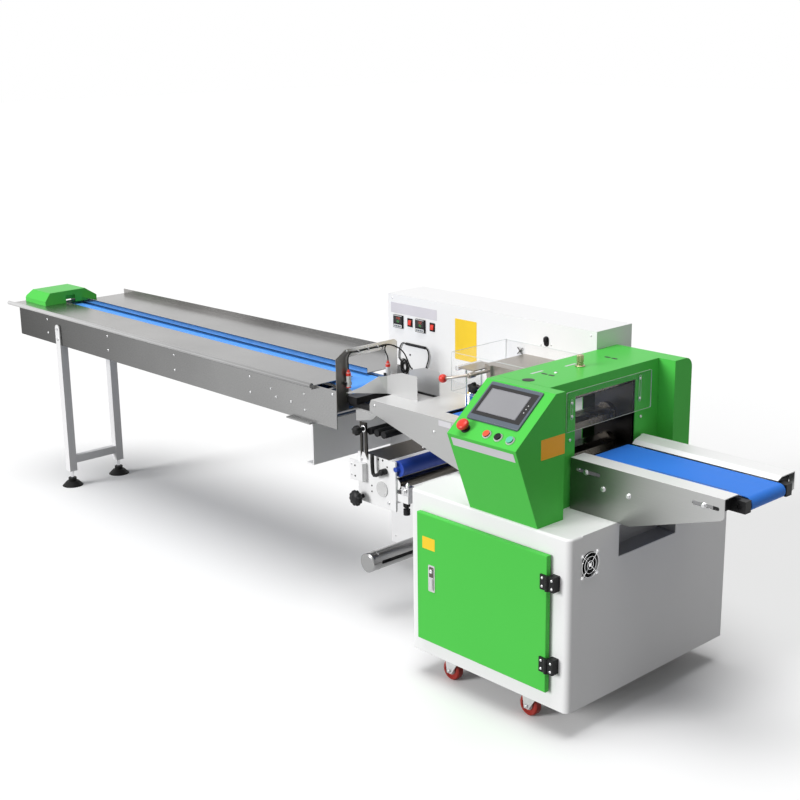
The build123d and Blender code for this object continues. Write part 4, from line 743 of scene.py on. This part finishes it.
collar.lathe(on_slope(-372, 32), SLOPE_OUT, [(16, 0), (16, 3), (14.6, 6), (11, 6.2), (10.4, 6), (10.4, 0)], 40)
collar.make("stop_collar", BLACK, slot="black_plastic")

# Bare films and plates where the machine carries its stickers.
film = Sheaf()
film.plate(on_pod_front(-284, 838), X, POD_FRONT_UP, 266, 31, 0.5, 2, 0.1)
film.plate(place(-1366, 645, 1018), X, Z, 266, 42, 0.5, 2, 0.1)
film.plate(place(-770, 226, 755), X, Z, 62, 20, 0.5, 2, 0.1)
film.make("pale_films", LABEL, slot="white_plastic")
film = Sheaf()
film.plate(place(-1075, 645, 942), X, Z, 116, 161, 0.5, 3, 0.1)
film.make("yellow_panel_film", YELLOW, slot="white_plastic")
film = Sheaf()
film.plate(place(-598, -24, 421.5), X, Z, 60, 43, 0.5, 2, 0.1)
film.make("yellow_door_film", YELLOW, "door", "white_plastic")
film = Sheaf()
film.plate(place(-138, 73, 842), Y, Z, 112, 66, 0.5, 2, 0.1)
film.make("orange_film", ORANGE, slot="white_plastic")

# Temperature controllers: display windows with lit digits, pale face and soft keys below.
SEGMENTS = {"1": "bc", "2": "abged", "3": "abgcd", "4": "fgbc", "5": "afgcd", "8": "abcdefg", "0": "abcdef"}
BARS = {"a": (0, 2, 1), "b": (1, 1, 0), "c": (1, -1, 0), "d": (0, -2, 1), "e": (-1, -1, 0), "f": (-1, 1, 0), "g": (0, 0, 1)}
windows, reds, greens, faces, keys = Sheaf(), Sheaf(), Sheaf(), Sheaf(), Sheaf()


def digits(sheaf, text, x, z, size):
    """Seven-segment number on the controllers' face."""
    for k, figure in enumerate(text):
        for name in SEGMENTS[figure]:
            dx, dz, flat = BARS[name]
            w, h = (size * 0.8, size * 0.22) if flat else (size * 0.22, size * 0.8)
            at = place(x + k * size * 1.75 + dx * size * 0.5, 637.3, z + dz * size * 0.5)
            sheaf.prism(at, X, Z, [(-w / 2, -h / 2), (w / 2, -h / 2), (w / 2, h / 2), (-w / 2, h / 2)], 0.3)


for x, upper, lower in ((-1452, "148", "150"), (-1324, "132", "135")):
    windows.plate(place(x, 638.4, 972), X, Z, 42, 27, 1.2, 1.5, 0.3)
    digits(reds, upper, x - 9, 978, 5)
    digits(greens, lower, x - 7, 965, 3.6)
    faces.plate(place(x, 637, 946), X, Z, 48, 13, 0.6, 2, 0.3)
    faces.plate(place(x, 637, 988), X, Z, 48, 2.6, 0.6, 1, 0.2)
    for k in range(4):
        keys.plate(place(x - 15 + k * 10, 636.5, 946), X, Z, 7, 6, 1.0, 1.5, 0.4)
windows.make("controller_windows", GLASS_DARK, slot="black_plastic")
reds.make("controller_digits_red", DIGIT_RED, slot="red_plastic")
greens.make("controller_digits_green", DIGIT_GREEN, slot="green_plastic")
faces.make("controller_faces", LIGHT_GREY, slot="white_plastic")
keys.make("controller_keys", SLATE, slot="grey_plastic")

# Knobs, levers and rollers with turned detail.


def lobed(sheaf, at, axis, r, depth, lobes, h):
    """Knob with finger lobes round its rim and a raised middle."""
    u = axis.orthogonal().normalized()
    v = axis.cross(u)
    rings = []
    for k, height in ((0.88, 0), (1.0, h * 0.18), (1.0, h * 0.75), (0.9, h), (0.45, h), (0.4, h + 2)):
        ring = []
        for j in range(72):
            a = 2 * pi * j / 72
            rr = r * k * (1 - (depth * (0.5 - 0.5 * cos(lobes * a)) if k > 0.5 else 0))
            ring.append(sheaf.bm.verts.new(at + (axis * height + (u * cos(a) + v * sin(a)) * rr) / 1000))
        rings.append(ring)
    for lower, upper in zip(rings, rings[1:]):
        for j in range(72):
            i = (j + 1) % 72
            sheaf.bm.faces.new((lower[j], lower[i], upper[i], upper[j])).smooth = True
    sheaf.bm.faces.new(rings[0][::-1])
    sheaf.bm.faces.new(rings[-1])


for node, body, x, z, r, y0, y1, neck, lobes, depth in (
    ("fin_knob", "knob_fin", -740, 872, 22, 349, 327, 364, 5, 0.3),
    ("arm_knob", "knob_arm", -1172, 663, 19, 176, 150, 193.5, 6, 0.24),
    ("tension_knob", "knob_tension", -1184, 394, 31, 172, 150, 199.5, 10, 0.12),
):
    knob = Sheaf()
    lobed(knob, place(x, y0, z), -Y, r, depth, lobes, y0 - y1 - 2)
    knob.lathe(place(x, neck, z), -Y, [(0, 0), (8, 0), (8, neck - y0 + 1), (0, neck - y0 + 1)], 24)
    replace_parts(knob.make(node + "_grip", BLACK, body, "black_plastic"), node)
    boss = Sheaf()
    boss.lathe(place(x, y1 + 0.2, z), -Y, [(r * 0.34, -1), (r * 0.34, 0), (r * 0.26, 0.15), (0, 0.15)], 24)
    boss.make(node + "_insert", ZINC, body, "zinc")

lever = Sheaf()
pivot, ball = place(-742, 334, 920), place(-887, 334, 882)
along = (ball - pivot).normalized()
length = (ball - pivot).length * 1000
rod = [(0, 7), (5, 7), (5, length - 30), (6, length - 28), (6, length - 16), (4, length - 14), (0, length - 14)]
lever.lathe(pivot, along, rod, 20)
lever.lathe(place(-742, 349, 920), -Y, [(6.6, 0), (9.4, 0), (10, 1), (10, 29), (9.4, 30), (6.6, 30)], 28)
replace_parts(lever.make("lever_rod", STEEL_PLATES, "lever", "chrome"), "lift_lever")
knob = Sheaf()
arc = [(16 * sin(radians(a)), length - 16 * cos(radians(a))) for a in range(20, 180, 12)]
knob.lathe(pivot, along, [(0, arc[0][1])] + arc + [(0, length + 16)], 36)
knob.make("lever_ball", RED, "lever", "red_plastic")

handle = Sheaf()
grip = [(-1056, 521), (-1070, 512), (-1084, 504), (-1096, 501), (-1103, 508), (-1105, 524), (-1106, 546), (-1106, 566), (-1106, 579)]
sizes = [8, 7.5, 7, 7, 7.2, 7.4, 7.6, 7.8, 7.4]
handle.tube([place(x, 179, z) for x, z in grip], sizes, 16)
handle.lathe(place(-1106, 179, 579), Z, [(7.4, -0.5), (6.6, 2), (4, 3.6), (0, 4)], 16)
handle.lathe(place(-1056, 199, 521), -Y, [(0, 0), (12, 0), (12, 24), (10.5, 27), (5, 28), (0, 28)], 28)
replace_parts(handle.make("clamp_handle", BLACK, "lever_film", "black_plastic"), "film_lever")

# Knurled adjuster on the cover.
adjuster = Sheaf()
adjuster.lathe(place(-318, 415, 1010), Z, [(0, 0), (17, 0), (17, 3), (15, 4.5), (11, 4.5)], 36)
rings = []
for h, r in ((4, 11.4), (12, 11.4), (12.5, 10), (15, 10), (15.5, 11.8), (37, 11.8), (39, 10.6), (40, 7.5), (40, 0.01)):
    ring = []
    for j in range(60):
        a = 2 * pi * j / 60
        rr = r - (0.6 if j % 2 and 15.5 <= h <= 37 else 0)
        ring.append(adjuster.bm.verts.new(place(-318, 415, 1010 + h) + (X * cos(a) + Y * sin(a)) * rr / 1000))
    rings.append(ring)
for lower, upper in zip(rings, rings[1:]):
    for j in range(60):
        i = (j + 1) % 60
        adjuster.bm.faces.new((lower[j], lower[i], upper[i], upper[j]))
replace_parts(adjuster.make("adjuster_knurl", BRASS, slot="brass"), "pressure_adjuster")

# Sensors: red gland and foot ring, and bright ties that hold their lead to the arch.
collars = Sheaf()
for y in (240, 443):
    collars.lathe(place(-1301, y, 837), Z, [(9.6, 0), (9.6, 9), (8.4, 13), (5, 18), (3.6, 24), (2.6, 24)], 24)
    collars.lathe(place(-1301, y, 790.5), Z, [(9.5, 0), (9.7, 1), (9.7, 3.4), (9.1, 4)], 24)
collars.make("sensor_glands", RED, slot="red_plastic")
ties = Sheaf()
for y in (300, 350, 400):
    ties.plate(place(-1314, y, 921), Y, Z, 5, 11, 8.6, 2, 0.6)
ties.lathe(place(-1314, 244, 931), X, [(4.5, 0), (4.5, 2.5), (3, 4), (0, 4)], 16)
ties.make("lead_ties", LIGHT_GREY, slot="white_plastic")

# Spare cable: strands of the coil on the rear cabinet.
coil = Sheaf()
for grow, dy, tilt in ((7, -2.4, 0.12), (3, -3.8, -0.16), (-2, -2.8, 0.06), (5, 1.2, 0.0)):
    ring = []
    for j in range(28):
        a = 2 * pi * j / 28
        x, z = (17 + grow) * cos(a) * 0.86, (17 + grow) * 1.4 * sin(a)
        ring.append(place(-1416 + x * cos(tilt) - z * sin(tilt), 639.2 + dy, 782 + z * cos(tilt) + x * sin(tilt)))
    coil.tube(ring, 1.9, 8, True)
coil.make("coil_strands", RUBBER, slot="black_rubber")

# Details of the rear cabinet's front: cable plug, cross handle and a small plug.
plug = Sheaf()
plug.plate(place(-666, 645, 1003), X, Z, 24, 38, 2.5, 11.5, 0.8)
plug.plate(place(-666, 643, 1009), X, Z, 16, 22, 9, 7.5, 1.5)
plug.lathe(place(-1388, 645, 835), -Y, [(4, 0), (4, 1.5), (2.6, 2.4), (0, 2.4)], 20)
plug.make("cable_plug", BLACK, slot="black_plastic")
cross = Sheaf()
cross.lathe(place(-788, 645, 949), -Y, [(4, 0), (4, 9), (0, 9)], 16)
for a in (45, 135):
    way = X * cos(radians(a)) + Z * sin(radians(a))
    cross.tube([place(-788, 638, 949) - way * 0.017, place(-788, 638, 949) + way * 0.017], [2, 2], 10)
cross.make("cross_handle", DARK_STEEL, slot="dark_steel")

# Bright edges of the clear cover: pale tubes, a painted highlight.
edges = Sheaf()
x0, x1, y0, y1, z0, z1 = -865.2, -434, 356.8, 644.2, 834.8, 980.2
edges.tube([place(*p) for p in ((x1, y0, z1), (x0, y0, z1), (x0, y1, z1))], 1.0, 6)
edges.tube([place(x0, y1, z1), place(x1, y1, z1)], 1.0, 6)
edges.tube([place(*p) for p in ((x1, y0, z0), (x0, y0, z0), (x0, y1, z0))], 0.9, 6)
edges.tube([place(x0, y0, z0), place(x0, y0, z1)], 1.0, 6)
edges.tube([place(x0, y1, z0), place(x0, y1, z1)], 0.9, 6)
edges.make("fin_cover_edges", EDGE_HIGHLIGHT, slot="clear_plastic")

# Film unit: clamp screws, pivot washers and the bracket's screws.
fittings = Sheaf()
for x, z in ((-1095, 559), (-1071, 560)):
    fittings.cap_screw(place(x, 200, z), -Y, 4, 1.6)
for x, z in ((-1134, 447), (-1134, 424), (-1047, 539), (-1083, 514)):
    fittings.cap_screw(place(x, 200, z), -Y, 3.4, 1.4)
for x, z in ((-1201, 517), (-1201, 476)):
    fittings.cap_screw(place(x, 176, z), -Y, 3.6, 1.6)
fittings.make("film_unit_screws", DARK_STEEL, slot="dark_steel")
clamp = Sheaf()
clamp.hex_bolt(place(-963, 208, 463), -Y, 8, 8)
clamp.lathe(place(-1010, 208, 431), -Y, [(8, 0), (8, 3), (6, 6), (0, 6)], 24)
clamp.lathe(place(-963, 225, 478), Z, [(9, 0), (9, 5), (6, 8), (6, 14), (0, 14)], 24)
clamp.lathe(place(-1172, 194, 663), -Y, [(14, 0), (14, 0.4), (9, 0.4)], 24)
clamp.make("clamp_fittings", CHROME, slot="chrome")
thumb = Sheaf()
lobed(thumb, place(-970, 225, 416), -Z, 13.4, 0.2, 8, 20)
thumb.make("clamp_thumb_knob", BLACK, slot="black_plastic")

# Mandrel's end: cap with a rim and a ring of screws.
cap = Sheaf()
cap.lathe(place(-1171, 201, 123), -Y, [(37.4, -16), (37.4, 0), (34, 0.9), (24, 0.9), (24, 0.2), (0, 0.2)], 48)
cap.lathe(place(-1171, 240, 123), Y, [(37.2, 0), (37.9, 1), (37.9, 5), (37.2, 6)], 48)
for k in range(3):
    a = 0.5 + k * 2 * pi / 3
    cap.cap_screw(place(-1171 + 15 * cos(a), 200.9, 123 + 15 * sin(a)), -Y, 4, 0.8)
cap.make("mandrel_cap", TURNED, "mandrel", "zinc")

# Row of small marks on the near discharge flange, without figures.
marks = Sheaf()
for k in range(40):
    marks.plate(place(57 + 7.5 * k, 303, 762), X, Y, 4.2, 4.6, 0.25, 0.6, 0.05)
marks.make("flange_marks", DARK_STEEL, slot="dark_steel")
